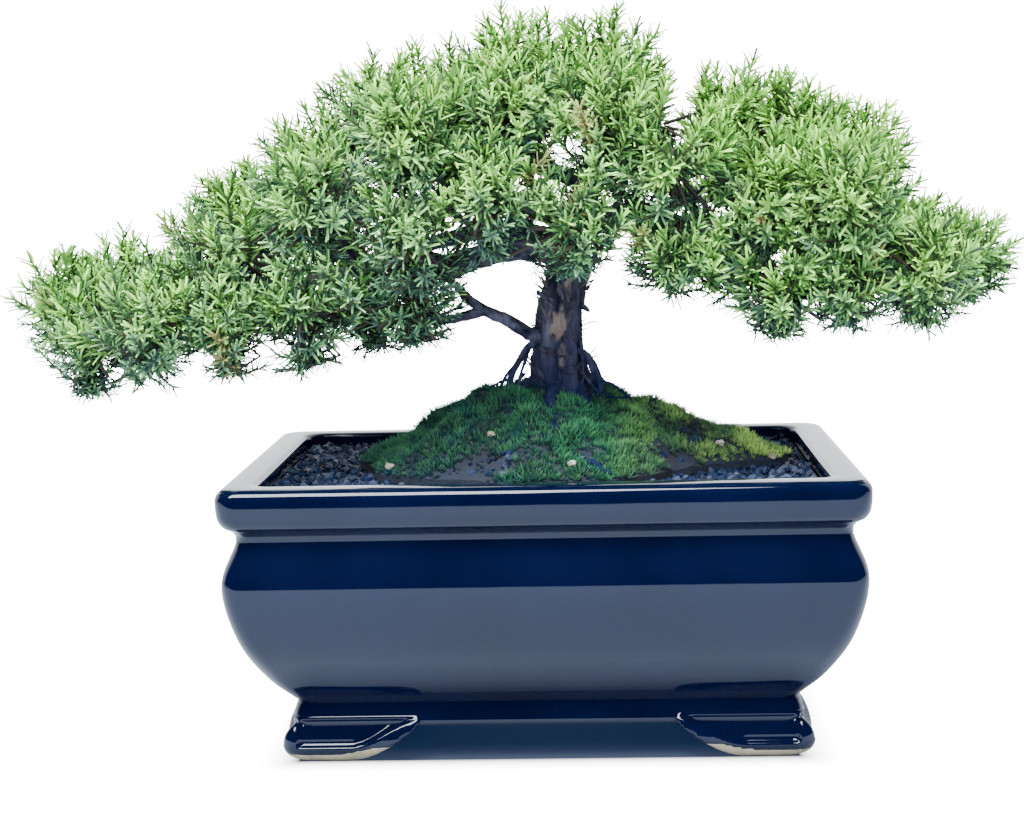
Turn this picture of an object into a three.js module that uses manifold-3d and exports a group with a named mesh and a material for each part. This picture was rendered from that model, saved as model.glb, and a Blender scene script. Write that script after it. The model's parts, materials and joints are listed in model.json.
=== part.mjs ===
import * as THREE from 'three';
import Module from 'manifold-3d';

// Juniper bonsai in a glazed rectangular pot.
// Millimetres, +Z up, the front of the tree towards -Y, feet of the pot on z = 0.

const wasm = await Module();
wasm.setup();

// Driving sizes of the pot
const POT_WIDTH = 209;
const POT_DEPTH = 154;
const POT_HEIGHT = 94;
const RIM_BAND = 10;
const RIM_TOP_WIDTH = 12;
const RIM_ROUND = 3.5;
const INNER_ROUND = 2;
const GROOVE_INSET = 5.4;
const GROOVE_HEIGHT = 76;
const NECK_INSET = 22;
const UNDERSIDE_HEIGHT = 12;
const FLOOR_HEIGHT = 24;
const CORNER_RADIUS = 7;
const DRAIN_OFFSET = 36;
const DRAIN_RADIUS = 7;

// Driving sizes of what the pot holds
const SOIL_HEIGHT = 89.5;
const GAP = 0.3;
const SCREEN_SIZE = 32;
const SCREEN_THICKNESS = 1.2;
const SCREEN_HOLES = 3;
const SCREEN_BAR = 2.6;

// Driving sizes of a juniper spray
const CORE_RADIUS = 6;
const LEVEL_STEP = 5.7;
const STEM_RADIUS = 1.7;
const NEEDLE_OUT = 6.4;
const NEEDLE_FORWARD = 5.6;
const TIP_LENGTH = 7.5;

const FULL_CIRCLE = 2 * Math.PI;
const UP = new THREE.Vector3(0, 0, 1);
// Steps that spread repeated draws evenly between 0 and 1
const GOLDEN_STEP = 0.6180339887;
const PLASTIC_STEP_A = 0.7548776662;
const PLASTIC_STEP_B = 0.5698402910;

const bonsai = new THREE.Group();

function vector(x, y, z) {
  return new THREE.Vector3(x, y, z);
}

function addPart(name, geometry, material) {
  const mesh = new THREE.Mesh(geometry, material);
  mesh.name = name;
  bonsai.add(mesh);
  return mesh;
}

function spread(index, step) {
  return (0.5 + index * step) % 1;
}

// Solids from triangles and rings

function geometryFromTriangles(triangles) {
  const positions = [];
  for (const triangle of triangles) {
    for (const point of triangle) {
      positions.push(point.x, point.y, point.z);
    }
  }
  const geometry = new THREE.BufferGeometry();
  geometry.setAttribute('position', new THREE.Float32BufferAttribute(positions, 3));
  geometry.computeVertexNormals();
  return geometry;
}

function centreOf(points) {
  const sum = points.reduce((total, point) => total.add(point), vector(0, 0, 0));
  return sum.divideScalar(points.length);
}

// A closed skin through rings of equal point counts, each ring counterclockwise seen from the end
function loft(rings) {
  const triangles = [];
  const count = rings[0].length;
  const first = rings[0];
  const last = rings[rings.length - 1];
  const firstCentre = centreOf(first);
  const lastCentre = centreOf(last);
  for (let i = 0; i < count; i++) {
    const next = (i + 1) % count;
    triangles.push([firstCentre, first[next], first[i]]);
    triangles.push([lastCentre, last[i], last[next]]);
    for (let ring = 1; ring < rings.length; ring++) {
      const lower = rings[ring - 1];
      const upper = rings[ring];
      triangles.push([lower[i], lower[next], upper[next]]);
      triangles.push([lower[i], upper[next], upper[i]]);
    }
  }
  return triangles;
}

function tangentAt(points, index) {
  const before = points[Math.max(index - 1, 0)];
  const after = points[Math.min(index + 1, points.length - 1)];
  return after.clone().sub(before).normalize();
}

// A closed tapering limb through points, with the radius given at each point
function limbTriangles(points, radii, sides, ripple = 0) {
  let side = vector(0, 1, 0);
  const rings = points.map((point, index) => {
    const tangent = tangentAt(points, index);
    side = side.clone().addScaledVector(tangent, -side.dot(tangent)).normalize();
    const across = tangent.clone().cross(side);
    return Array.from({ length: sides }, (_, i) => {
      const angle = i / sides * FULL_CIRCLE;
      const radius = radii[index] * (1 + ripple * Math.cos(3 * angle + index));
      return point.clone()
        .addScaledVector(side, radius * Math.cos(angle))
        .addScaledVector(across, radius * Math.sin(angle));
    });
  });
  return loft(rings);
}

// Joining and cutting

function solidFrom(triangles) {
  const points = [];
  const indices = new Map();
  const corners = triangles.flat().map((point) => {
    const key = `${point.x.toFixed(5)},${point.y.toFixed(5)},${point.z.toFixed(5)}`;
    if (!indices.has(key)) {
      indices.set(key, points.length / 3);
      points.push(point.x, point.y, point.z);
    }
    return indices.get(key);
  });
  return new wasm.Manifold(new wasm.Mesh({
    numProp: 3,
    vertProperties: new Float32Array(points),
    triVerts: new Uint32Array(corners),
  }));
}

function geometryFromSolid(solid) {
  const mesh = solid.getMesh();
  const geometry = new THREE.BufferGeometry();
  geometry.setAttribute('position', new THREE.BufferAttribute(mesh.vertProperties, 3));
  geometry.setIndex(new THREE.BufferAttribute(mesh.triVerts, 1));
  geometry.computeVertexNormals();
  return geometry;
}

function trianglesOf(geometry) {
  const flat = geometry.index ? geometry.toNonIndexed() : geometry;
  const position = flat.getAttribute('position');
  const triangles = [];
  for (let i = 0; i < position.count; i += 3) {
    triangles.push([0, 1, 2].map((corner) => vector(0, 0, 0).fromBufferAttribute(position, i + corner)));
  }
  return triangles;
}

function join(solids) {
  return solids.reduce((whole, solid) => whole.add(solid));
}

// Pot

// A ring inset from the rim's outline, with more points along its sides where asked
function potRing(inset, height, cornerSteps = 3, sideSteps = 1) {
  const halfWidth = POT_WIDTH / 2 - inset - CORNER_RADIUS;
  const halfDepth = POT_DEPTH / 2 - inset - CORNER_RADIUS;
  const signs = [[1, 1], [-1, 1], [-1, -1], [1, -1]];
  const arcs = signs.map(([signX, signY], quarter) => Array.from({ length: cornerSteps + 1 }, (_, i) => {
    const angle = (quarter + i / cornerSteps) * Math.PI / 2;
    return vector(
      signX * halfWidth + CORNER_RADIUS * Math.cos(angle),
      signY * halfDepth + CORNER_RADIUS * Math.sin(angle),
      height,
    );
  }));
  return arcs.flatMap((arc, quarter) => {
    const next = arcs[(quarter + 1) % 4][0];
    const between = [];
    for (let i = 1; i < sideSteps; i++) {
      between.push(arc[cornerSteps].clone().lerp(next, i / sideSteps));
    }
    return [...arc, ...between];
  });
}

// Outline points on a quarter round from one angle to another
function quarterRound(centreInset, centreHeight, radius, fromAngle, toAngle) {
  return [0, 0.5, 1].map((part) => {
    const angle = THREE.MathUtils.degToRad(fromAngle + part * (toAngle - fromAngle));
    return [centreInset + radius * Math.cos(angle), centreHeight + radius * Math.sin(angle)];
  });
}

// Every outline point is [inset from the rim, height]
const bandBottom = POT_HEIGHT - RIM_BAND;
const bellyOutline = new THREE.SplineCurve([
  new THREE.Vector2(NECK_INSET - 0.5, 19.8),
  new THREE.Vector2(12.8, 29.5),
  new THREE.Vector2(4.9, 43.5),
  new THREE.Vector2(0.9, 62),
  new THREE.Vector2(GROOVE_INSET, GROOVE_HEIGHT),
]).getPoints(7).map((point) => [point.x, point.y]);
// The rim's face turns in under itself and drops into the groove
const bandOutline = [
  [GROOVE_INSET - 0.1, GROOVE_HEIGHT + 2.3],
  [4.1, bandBottom - 4.1],
  [1.9, bandBottom - 2.6],
  [0.5, bandBottom],
  [0, bandBottom + 3.5],
];
const innerWall = [
  [RIM_TOP_WIDTH + 1, bandBottom],
  [RIM_TOP_WIDTH + 3, 50],
  [RIM_TOP_WIDTH + 10, 32],
  [RIM_TOP_WIDTH + 18, FLOOR_HEIGHT],
];
const bodyOutline = [
  [NECK_INSET + 1, UNDERSIDE_HEIGHT],
  [NECK_INSET - 0.5, UNDERSIDE_HEIGHT + 0.8],
  ...bellyOutline,
  ...bandOutline,
  ...quarterRound(RIM_ROUND, POT_HEIGHT - RIM_ROUND, RIM_ROUND, 180, 90),
  ...quarterRound(RIM_TOP_WIDTH - INNER_ROUND, POT_HEIGHT - INNER_ROUND, INNER_ROUND, 90, 0),
  ...innerWall,
];

const footFlare = [
  [22, 0],
  [18, 2],
  [16.4, 5.5],
  [16.6, 9],
  [19, 12.5],
  [NECK_INSET - 0.1, 16.5],
  [NECK_INSET + 2, 20],
];
const FOOT_THICKNESS = 17;
const ARCH_TOP = 17.6;
const FRONT_ARCH = { table: 64, top: 42 };
const SIDE_ARCH = { table: 38, top: 26 };

// The gap between two feet: half as wide at the table and at the top as given
function archSolid({ table, top }, turn) {
  const outline = new THREE.Shape();
  outline.moveTo(-table, -1);
  outline.lineTo(table, -1);
  outline.lineTo(table, 0.5);
  outline.quadraticCurveTo(top, 4, top, ARCH_TOP);
  outline.lineTo(top, ARCH_TOP + 3);
  outline.lineTo(-top, ARCH_TOP + 3);
  outline.lineTo(-top, ARCH_TOP);
  outline.quadraticCurveTo(-top, 4, -table, 0.5);
  const depth = POT_WIDTH + 20;
  const geometry = new THREE.ExtrudeGeometry(outline, { depth, bevelEnabled: false, curveSegments: 4 });
  geometry.translate(0, 0, -depth / 2);
  geometry.rotateX(Math.PI / 2);
  geometry.rotateZ(turn);
  return solidFrom(trianglesOf(geometry));
}

function makePot() {
  const body = solidFrom(loft(bodyOutline.map(([inset, height]) => potRing(inset, height))));
  const skirt = solidFrom(loft(footFlare.map(([inset, height]) => potRing(inset, height, 4))));
  const pocketInset = footFlare[0][0] + FOOT_THICKNESS;
  const pocket = solidFrom(loft([potRing(pocketInset, -1), potRing(pocketInset, 21)]));
  const feet = skirt
    .subtract(pocket)
    .subtract(archSolid(FRONT_ARCH, 0))
    .subtract(archSolid(SIDE_ARCH, Math.PI / 2));
  let pot = body.add(feet);
  for (const side of [-1, 1]) {
    const drain = new THREE.CylinderGeometry(DRAIN_RADIUS, DRAIN_RADIUS, FLOOR_HEIGHT, 16);
    drain.rotateX(Math.PI / 2);
    drain.translate(side * DRAIN_OFFSET, 0, UNDERSIDE_HEIGHT + 4);
    pot = pot.subtract(solidFrom(trianglesOf(drain)));
  }
  return geometryFromSolid(pot);
}

// Drainage screens

function boxSolid(width, depth, height, x, y, z) {
  const box = new THREE.BoxGeometry(width, depth, height);
  box.translate(x, y, z);
  return solidFrom(trianglesOf(box));
}

function makeScreen(centreX) {
  const z = FLOOR_HEIGHT + GAP + SCREEN_THICKNESS / 2;
  const pitch = SCREEN_SIZE / SCREEN_HOLES;
  const hole = pitch - SCREEN_BAR;
  let screen = boxSolid(SCREEN_SIZE, SCREEN_SIZE, SCREEN_THICKNESS, centreX, 0, z);
  for (let row = 0; row < SCREEN_HOLES; row++) {
    for (let column = 0; column < SCREEN_HOLES; column++) {
      const x = centreX + (column + 0.5) * pitch - SCREEN_SIZE / 2;
      const y = (row + 0.5) * pitch - SCREEN_SIZE / 2;
      screen = screen.subtract(boxSolid(hole, hole, 3 * SCREEN_THICKNESS, x, y, z));
    }
  }
  return geometryFromSolid(screen);
}

// Wood: a trunk, its limbs and the roots that show

const TRUNK = {
  points: [[6, 0, 78], [6, 0, 100], [6, 0, 108], [5.5, 0, 115], [5, 0, 122], [5, 0, 133], [6, 0, 144],
    [8, 1, 154], [10, 2, 164], [13, 3, 175], [16, 3, 187], [19, 3, 199], [20, 3, 211]],
  radii: [9, 15, 15, 12.4, 10.4, 8.9, 7.9, 7, 6.2, 5.4, 4.4, 3.4, 2.4],
};

// Each limb: its points, its radius where it starts and where it ends
const LIMBS = [
  // Long left limb, low in front
  [[[9, 2, 163], [-8, -2, 166], [-24, -9, 163], [-42, -15, 158], [-62, -18, 152], [-82, -22, 148],
    [-101, -27, 145], [-117, -30, 142], [-132, -30, 136], [-145, -27, 131]], 4.6, 1.7],
  // Right limb, low in front
  [[[13, 3, 175], [33, 0, 174], [50, -8, 167], [66, -16, 157], [84, -20, 152], [103, -24, 151],
    [122, -20, 152], [135, -14, 154]], 4.2, 1.6],
  // Upper right and upper left limbs
  [[[17, 3, 190], [37, 2, 194], [56, 2, 197], [76, 1, 194], [95, -1, 187], [113, 0, 178]], 3.2, 1.5],
  [[[16, 3, 187], [-4, 2, 195], [-25, 2, 198], [-45, 4, 203]], 3, 1.5],
  // Middle left limb
  [[[13, 3, 174], [-12, 4, 182], [-38, 2, 182], [-64, -2, 179], [-90, -2, 170], [-114, 0, 160],
    [-134, 2, 149]], 3.6, 1.5],
  // Back left and back right limbs
  [[[10, 2, 166], [-10, 16, 172], [-34, 27, 169], [-60, 31, 160], [-90, 32, 153],
    [-116, 28, 146]], 3.6, 1.5],
  [[[13, 3, 174], [30, 16, 177], [54, 27, 172], [82, 29, 165], [108, 26, 160]], 3.4, 1.5],
  // Low forked branch at the left of the trunk
  [[[5, -2, 132], [-4, -4, 136], [-12, -7, 141.5], [-20, -10, 145.5], [-26, -10, 150],
    [-31, -12, 156]], 2.8, 1.3],
  [[[-19, -10, 145.5], [-28, -12, 143.4], [-38, -15, 142], [-48, -18, 141]], 1.9, 1.3],
];

const ARCHED_ROOTS = [
  [[[8, -3, 132], [13.5, -5, 129.5], [17.5, -6, 124.5], [19.5, -7, 117], [20.5, -8, 105]], 1.7, 1.3],
  [[[1, -4, 135], [-4.5, -6, 132.5], [-8.5, -7, 127.5], [-12, -8, 120], [-14, -8, 107]], 1.4, 1.1],
];

// Surface roots: how far they reach, and how high their axis runs over the moss at four points
const ROOT_COUNT = 6;
const ROOT_REACH = 31;
const ROOT_RISES = [3, -0.6, -2.2, -7];

function taper(curve, startRadius, endRadius, steps, sides) {
  const points = curve.getPoints(steps);
  const radii = points.map((_, i) => THREE.MathUtils.lerp(startRadius, endRadius, i / steps));
  return { points, radii, sides };
}

function limbFrom([controls, startRadius, endRadius], steps, sides) {
  const curve = new THREE.CatmullRomCurve3(controls.map((point) => vector(...point)));
  return taper(curve, startRadius, endRadius, steps, sides);
}

// Moss: one cushion over the raised soil, steep at the left and drawn out in a tongue at the right

const MOSS_CENTRE = [5.5, 0];
const MOSS_HEIGHT = 27;
const MOSS_EDGE_HEIGHT = 2.4;
const MOSS_SHOULDER = { x: -24, width: 15, depth: 22, height: 5 };
const MOSS_CLUMP_HEIGHT = 2.1;
const MOSS_RINGS = 8;
const MOSS_SEGMENTS = 32;
// How far the cushion reaches from the trunk, every 30 degrees from the right round by the back
const MOSS_REACH = [78, 62, 50, 50, 54, 62, 70, 66, 58, 59, 53, 50];

function mossReach(angle) {
  const place = ((angle / FULL_CIRCLE) % 1 + 1) % 1 * MOSS_REACH.length;
  const index = Math.floor(place);
  const blend = 0.5 - 0.5 * Math.cos((place - index) * Math.PI);
  const reach = THREE.MathUtils.lerp(MOSS_REACH[index], MOSS_REACH[(index + 1) % MOSS_REACH.length], blend);
  return reach + 1.6 * Math.sin(9 * angle) + 1.2 * Math.sin(14 * angle + 2);
}

function mossClumps(x, y) {
  const alongX = Math.sin(x / 3.4 + 1.7 * Math.sin(y / 9));
  const alongY = Math.sin(y / 3.7 + 1.3 * Math.sin(x / 8));
  return MOSS_CLUMP_HEIGHT * alongX * alongY;
}

// The point of the moss at an angle round the trunk, with part 0 at the trunk and 1 at the edge
function mossPoint(angle, part) {
  const x = MOSS_CENTRE[0] + part * mossReach(angle) * Math.cos(angle);
  const y = MOSS_CENTRE[1] + part * mossReach(angle) * Math.sin(angle);
  const slope = MOSS_HEIGHT * (1 - part ** 1.3);
  const acrossShoulder = ((x - MOSS_SHOULDER.x) / MOSS_SHOULDER.width) ** 2 + (y / MOSS_SHOULDER.depth) ** 2;
  const shoulder = MOSS_SHOULDER.height * Math.exp(-acrossShoulder);
  const clumps = mossClumps(x, y) * Math.min(1, 4 * (1 - part));
  return vector(x, y, SOIL_HEIGHT + GAP + MOSS_EDGE_HEIGHT + slope + shoulder + clumps);
}

function makeMoss() {
  const angles = Array.from({ length: MOSS_SEGMENTS }, (_, i) => i / MOSS_SEGMENTS * FULL_CIRCLE);
  const rings = [angles.map((angle) => mossPoint(angle, 1).setZ(SOIL_HEIGHT + GAP))];
  for (let i = 0; i <= MOSS_RINGS; i++) {
    const part = 1 - 0.9 * i / MOSS_RINGS;
    rings.push(angles.map((angle) => mossPoint(angle, part)));
  }
  return solidFrom(loft(rings));
}

function mossHeightAt(x, y) {
  const angle = Math.atan2(y - MOSS_CENTRE[1], x - MOSS_CENTRE[0]);
  const part = Math.hypot(x - MOSS_CENTRE[0], y - MOSS_CENTRE[1]) / mossReach(angle);
  return mossPoint(angle, Math.min(part, 1)).z;
}

function surfaceRoot(index) {
  const angle = (index + 0.35 * spread(index, PLASTIC_STEP_A)) / ROOT_COUNT * FULL_CIRCLE;
  const reach = ROOT_REACH * (0.8 + 0.4 * spread(index, PLASTIC_STEP_B));
  const controls = [4, 0.48 * reach, 0.72 * reach, reach].map((distance, i) => {
    const bend = angle + 0.12 * i * Math.sin(5 * index);
    const x = TRUNK.points[2][0] + distance * Math.cos(bend);
    const y = distance * Math.sin(bend);
    return [x, y, mossHeightAt(x, y) + ROOT_RISES[i]];
  });
  return [controls, 3.6, 1.5];
}

// Foliage: the hub of each spray cluster and how far its tips reach

const SPRAYS = {
  top: [[-164, -12, 149, 20], [-145, 4, 156, 20], [-104, 0, 178, 21], [-80, 2, 192, 23], [-55, 8, 214, 23],
    [-28, 10, 210, 23], [-8, -2, 224, 24], [23, 2, 225, 24], [41, -2, 207, 23], [67, 3, 208, 24],
    [87, -6, 202, 23], [109, -4, 194, 20], [124, 6, 167, 20], [145, -8, 159, 19]],
  front: [[-150, -40, 137, 20], [-127, -50, 142, 24], [-102, -48, 142, 20], [-101, -34, 166, 25],
    [-78, -44, 146, 22], [-70, -44, 184, 25], [-42, -44, 202, 25], [-40, -46, 172, 25], [-16, -48, 184, 25],
    [-8, -34, 208, 25], [20, -38, 208, 25], [10, -44, 174, 22], [44, -46, 192, 25], [45, -44, 165, 21],
    [72, -42, 182, 25], [98, -50, 180, 24], [78, -44, 152, 19], [100, -46, 154, 19], [124, -42, 156, 22],
    [-42, -30, 149, 18]],
  back: [[-144, 36, 140, 25], [-116, 54, 154, 25], [-82, 58, 168, 25], [-50, 56, 196, 25],
    [-12, 54, 210, 25], [28, 54, 208, 25], [64, 54, 194, 25], [100, 50, 178, 25], [130, 38, 158, 25],
    [-66, 54, 142, 22], [70, 50, 163, 25]],
};

const coreInradius = CORE_RADIUS / Math.sqrt(3);
const coreFaceRadius = CORE_RADIUS * Math.sqrt(2 / 3);

const sprays = Object.entries(SPRAYS).flatMap(([row, hubs]) => hubs.map(([x, y, z, reach], i) => ({
  name: `foliage_${row}_${String(i + 1).padStart(2, '0')}`,
  row,
  hub: vector(x, y, z),
  reach,
})));

const trunk = {
  points: TRUNK.points.map((point) => vector(...point)),
  radii: TRUNK.radii,
  sides: 9,
  ripple: 0.06,
};
const limbs = LIMBS.map((limb) => limbFrom(limb, Math.round(1.2 * (limb[0].length - 1)), 5));
const rootPaths = [...ARCHED_ROOTS, ...Array.from({ length: ROOT_COUNT }, (_, i) => surfaceRoot(i))];
const roots = rootPaths.map((root) => limbFrom(root, 4, 4));

// The branchlet that carries a spray leaves the nearest limb and ends a hair short of the spray's core
const TWIG_START_RADIUS = 1.5;
const TWIG_END_RADIUS = 1.1;
const TWIG_STEPS = 2;
const TWIG_BEND = 0.16;

function nearestLimbPoint(hub) {
  let best = null;
  for (const limb of limbs) {
    for (let i = 1; i < limb.points.length - 1; i++) {
      const distance = limb.points[i].distanceTo(hub);
      if (!best || distance < best.distance) {
        best = { distance, point: limb.points[Math.max(i - 1, 1)], tangent: tangentAt(limb.points, i) };
      }
    }
  }
  return best;
}

function twigTo(spray) {
  const start = nearestLimbPoint(spray.hub);
  const span = start.point.distanceTo(spray.hub);
  const bend = start.point.clone().lerp(spray.hub, 0.5).addScaledVector(start.tangent, TWIG_BEND * span);
  spray.axis = spray.hub.clone().sub(bend).normalize();
  const end = spray.hub.clone().addScaledVector(spray.axis, -(coreInradius + GAP));
  const curve = new THREE.QuadraticBezierCurve3(start.point, bend, end);
  return taper(curve, TWIG_START_RADIUS, TWIG_END_RADIUS, TWIG_STEPS, 4);
}

const wood = [trunk, ...limbs, ...roots, ...sprays.map(twigTo)];

function limbSolid({ points, radii, sides, ripple }) {
  return solidFrom(limbTriangles(points, radii, sides, ripple));
}

// The space that the foot of the trunk and the roots take up in the moss and the soil
function makeRootSpace() {
  return join([trunk, ...roots].map((limb) => {
    const end = limb.points.length - 1;
    const first = limb.points[0].clone().addScaledVector(tangentAt(limb.points, 0), -2 * GAP);
    const last = limb.points[end].clone().addScaledVector(tangentAt(limb.points, end), 2 * GAP);
    const points = [first, ...limb.points.slice(1, -1), last];
    const radii = limb.radii.map((radius) => radius + 1.5 * GAP);
    return limbSolid({ ...limb, points, radii });
  }));
}

// Foliage clearance: pieces of wood and needles as tapering rods

function rodsOf({ points, radii }) {
  return points.slice(1).map((point, i) => ({
    start: points[i],
    end: point,
    startRadius: radii[i],
    endRadius: radii[i + 1],
  }));
}

const woodRods = wood.flatMap(rodsOf);
const scratchPoint = new THREE.Vector3();
const scratchLine = new THREE.Line3();

function isClear(rods, point, radius, gap) {
  return rods.every((rod) => {
    scratchLine.set(rod.start, rod.end);
    const part = scratchLine.closestPointToPointParameter(point, true);
    scratchLine.at(part, scratchPoint);
    const rodRadius = THREE.MathUtils.lerp(rod.startRadius, rod.endRadius, part);
    return scratchPoint.distanceTo(point) >= rodRadius + radius + gap;
  });
}

// Each spray keeps to its own side of a plane halfway to each of its neighbours
function cellOf(spray) {
  return sprays.filter((other) => other !== spray).map((other) => {
    const normal = other.hub.clone().sub(spray.hub);
    const distance = normal.length() * spray.reach / (spray.reach + other.reach);
    return { normal: normal.normalize(), distance: distance - GAP / 2 };
  }).filter((plane) => plane.distance < 3 * spray.reach);
}

function roomInCell(cell, hub, point) {
  return Math.min(...cell.map((plane) => {
    return plane.distance - scratchPoint.copy(point).sub(hub).dot(plane.normal);
  }));
}

function ringAfter(ring, centre, tangent, radius) {
  const before = centreOf(ring);
  return ring.map((point, i) => {
    const side = point.clone().add(ring[(i + 1) % 3]).multiplyScalar(0.5).sub(before);
    side.addScaledVector(tangent, -side.dot(tangent)).normalize();
    return centre.clone().addScaledVector(side, radius);
  });
}

function faceNormal([a, b, c]) {
  return b.clone().sub(a).cross(c.clone().sub(a)).normalize();
}

const SHOOT_LIFT = 0.35;
const SHOOT_CLEARANCE = 0.8;

// The rings of one shoot that grows from a face of the core towards its tip
function shootRings(spray, face, index, cell, rods) {
  const normal = faceNormal(face);
  const start = centreOf(face);
  const direction = normal.clone().addScaledVector(UP, SHOOT_LIFT).normalize();
  const reach = spray.reach * (0.9 + 0.2 * spread(index, GOLDEN_STEP));
  const target = spray.hub.clone().addScaledVector(direction, reach - TIP_LENGTH);
  const length = start.distanceTo(target);
  const bend = start.clone().addScaledVector(normal, 0.55 * length);
  const path = new THREE.QuadraticBezierCurve3(start, bend, target);
  const levels = Math.max(1, Math.round(length / LEVEL_STEP));
  const rings = [face];
  for (let level = 1; level <= levels; level++) {
    const centre = path.getPoint(level / levels);
    const tangent = path.getTangent(level / levels);
    const inCell = roomInCell(cell, spray.hub, centre) > STEM_RADIUS + 1;
    if (!inCell || !isClear(rods, centre, STEM_RADIUS, SHOOT_CLEARANCE)) {
      break;
    }
    const radius = STEM_RADIUS * (level === 1 ? 1.15 : 1);
    rings.push(ringAfter(rings[level - 1], centre, tangent, radius));
  }
  return rings;
}

const NEEDLE_SCALES = [1, 0.85, 0.7, 0.55, 0.4];
const NEEDLE_ROOT_RADIUS = 1.3;
const NEEDLE_CLEARANCE = 0.45;

// A needle stands on three corners; where it would touch something it is shorter, or left out
function needle(base, apex, spray, cell, rods, triangles) {
  const foot = centreOf(base);
  for (const scale of NEEDLE_SCALES) {
    const tip = foot.clone().lerp(apex, scale);
    const clear = [0.35, 0.6, 0.8, 1].every((part) => {
      const radius = NEEDLE_ROOT_RADIUS * (1 - part);
      return isClear(rods, foot.clone().lerp(tip, part), radius, NEEDLE_CLEARANCE);
    });
    if (clear && roomInCell(cell, spray.hub, tip) > 0) {
      triangles.push([base[0], base[1], tip], [base[1], base[2], tip], [base[2], base[0], tip]);
      rods.push({ start: foot, end: tip, startRadius: 1.1, endRadius: 0.1 });
      return;
    }
  }
  triangles.push(base);
}

// The core that the shoots grow from: a seat on the twig, and seven faces round it
function coreFaces(spray) {
  const side = vector(0, 1, 0).cross(spray.axis).normalize();
  const across = spray.axis.clone().cross(side);
  const seatCentre = spray.hub.clone().addScaledVector(spray.axis, -coreInradius);
  const seat = [0, 1, 2].map((i) => {
    const angle = i / 3 * FULL_CIRCLE;
    return seatCentre.clone()
      .addScaledVector(side, coreFaceRadius * Math.cos(angle))
      .addScaledVector(across, coreFaceRadius * Math.sin(angle));
  });
  const crownCentre = spray.hub.clone().addScaledVector(spray.axis, coreInradius);
  const crown = ringAfter(seat, crownCentre, spray.axis, coreFaceRadius);
  const faces = [0, 1, 2].flatMap((i) => {
    const next = (i + 1) % 3;
    return [[seat[i], seat[next], crown[i]], [seat[next], crown[next], crown[i]]];
  });
  return { seat, faces: [...faces, crown] };
}

// The needles of one shoot: six to a level after the first, three on the first, and one at the tip
function shootNeedles(rings, place) {
  for (let level = 1; level < rings.length; level++) {
    const lower = rings[level - 1];
    const upper = rings[level];
    const axis = centreOf(upper).sub(centreOf(lower)).normalize();
    for (let i = 0; i < 3; i++) {
      const next = (i + 1) % 3;
      const facets = [[lower[i], lower[next], upper[i]], [lower[next], upper[next], upper[i]]];
      facets.forEach((facet, half) => {
        const foot = centreOf(facet);
        const out = foot.clone().sub(centreOf(lower));
        out.addScaledVector(axis, -out.dot(axis)).normalize();
        const apex = foot.clone().addScaledVector(out, NEEDLE_OUT).addScaledVector(axis, NEEDLE_FORWARD);
        place(facet, apex, level > 1 || half === 1);
      });
    }
  }
  const last = rings[rings.length - 1];
  const axis = faceNormal(last);
  place(last, centreOf(last).addScaledVector(axis, TIP_LENGTH), true);
}

function makeSpray(spray) {
  const cell = cellOf(spray);
  const nearWood = woodRods.filter((rod) => {
    return Math.min(rod.start.distanceTo(spray.hub), rod.end.distanceTo(spray.hub)) < 3 * spray.reach;
  });
  const { seat, faces } = coreFaces(spray);
  const triangles = [[seat[2], seat[1], seat[0]]];
  const shoots = [];
  const stemRods = [];
  faces.forEach((face, index) => {
    const rings = shootRings(spray, face, index, cell, [...nearWood, ...stemRods.flat()]);
    const points = rings.slice(1).map(centreOf);
    shoots.push(rings);
    stemRods.push(rodsOf({ points, radii: points.map(() => STEM_RADIUS) }));
  });
  const needleRods = shoots.map(() => []);
  shoots.forEach((rings, index) => {
    const others = [stemRods, needleRods].flatMap((lists) => lists.filter((_, i) => i !== index).flat());
    const rods = [...nearWood, ...others];
    const known = rods.length;
    shootNeedles(rings, (facet, apex, raised) => {
      if (raised) {
        needle(facet, apex, spray, cell, rods, triangles);
      } else {
        triangles.push(facet);
      }
    });
    needleRods[index] = rods.slice(known);
  });
  return geometryFromTriangles(triangles);
}

// Soil

// Uneven grain rows run round the pot, and the soil is flat inside them
const GRAIN_HEIGHT = 1.6;
const GRAIN_ROWS = [18, 23, 28, 33];
const FLAT_SOIL_INSET = 38;
const SOIL_SIDE_STEPS = 5;

function makeSoil(rootSpace) {
  const clear = GAP + 0.1;
  const wall = innerWall.map(([inset, height]) => [inset + clear, Math.max(height, FLOOR_HEIGHT + GAP)]);
  const edge = [RIM_TOP_WIDTH + 1, SOIL_HEIGHT - 1];
  const outline = [...wall.reverse(), edge];
  const rings = outline.map(([inset, height]) => potRing(inset, height, 2, SOIL_SIDE_STEPS));
  GRAIN_ROWS.forEach((inset, row) => {
    const ring = potRing(inset, SOIL_HEIGHT, 2, SOIL_SIDE_STEPS);
    ring.forEach((point, i) => {
      point.z -= GRAIN_HEIGHT * spread(i + 7 * row, GOLDEN_STEP);
    });
    rings.push(ring);
  });
  rings.push(potRing(FLAT_SOIL_INSET, SOIL_HEIGHT, 2, SOIL_SIDE_STEPS));
  let soil = solidFrom(loft(rings)).subtract(rootSpace);
  for (const side of [-1, 1]) {
    const size = SCREEN_SIZE + 2 * GAP;
    const height = 2 * (SCREEN_THICKNESS + 2 * GAP);
    soil = soil.subtract(boxSolid(size, size, height, side * DRAIN_OFFSET, 0, FLOOR_HEIGHT));
  }
  return geometryFromSolid(soil);
}

// Pebbles and a loose twig, dropped where they lie

const PEBBLE_SIDES = 7;
// Where each pebble lies, its width and its height
const PEBBLES = [
  [-52, -31, 3, 2.4],
  [60, -14.5, 2.8, 2.4],
  [78, -8.5, 3, 2.4],
  [-17.5, -32.5, 2.4, 2],
  [9.5, -51, 2.6, 2.2],
];

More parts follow.
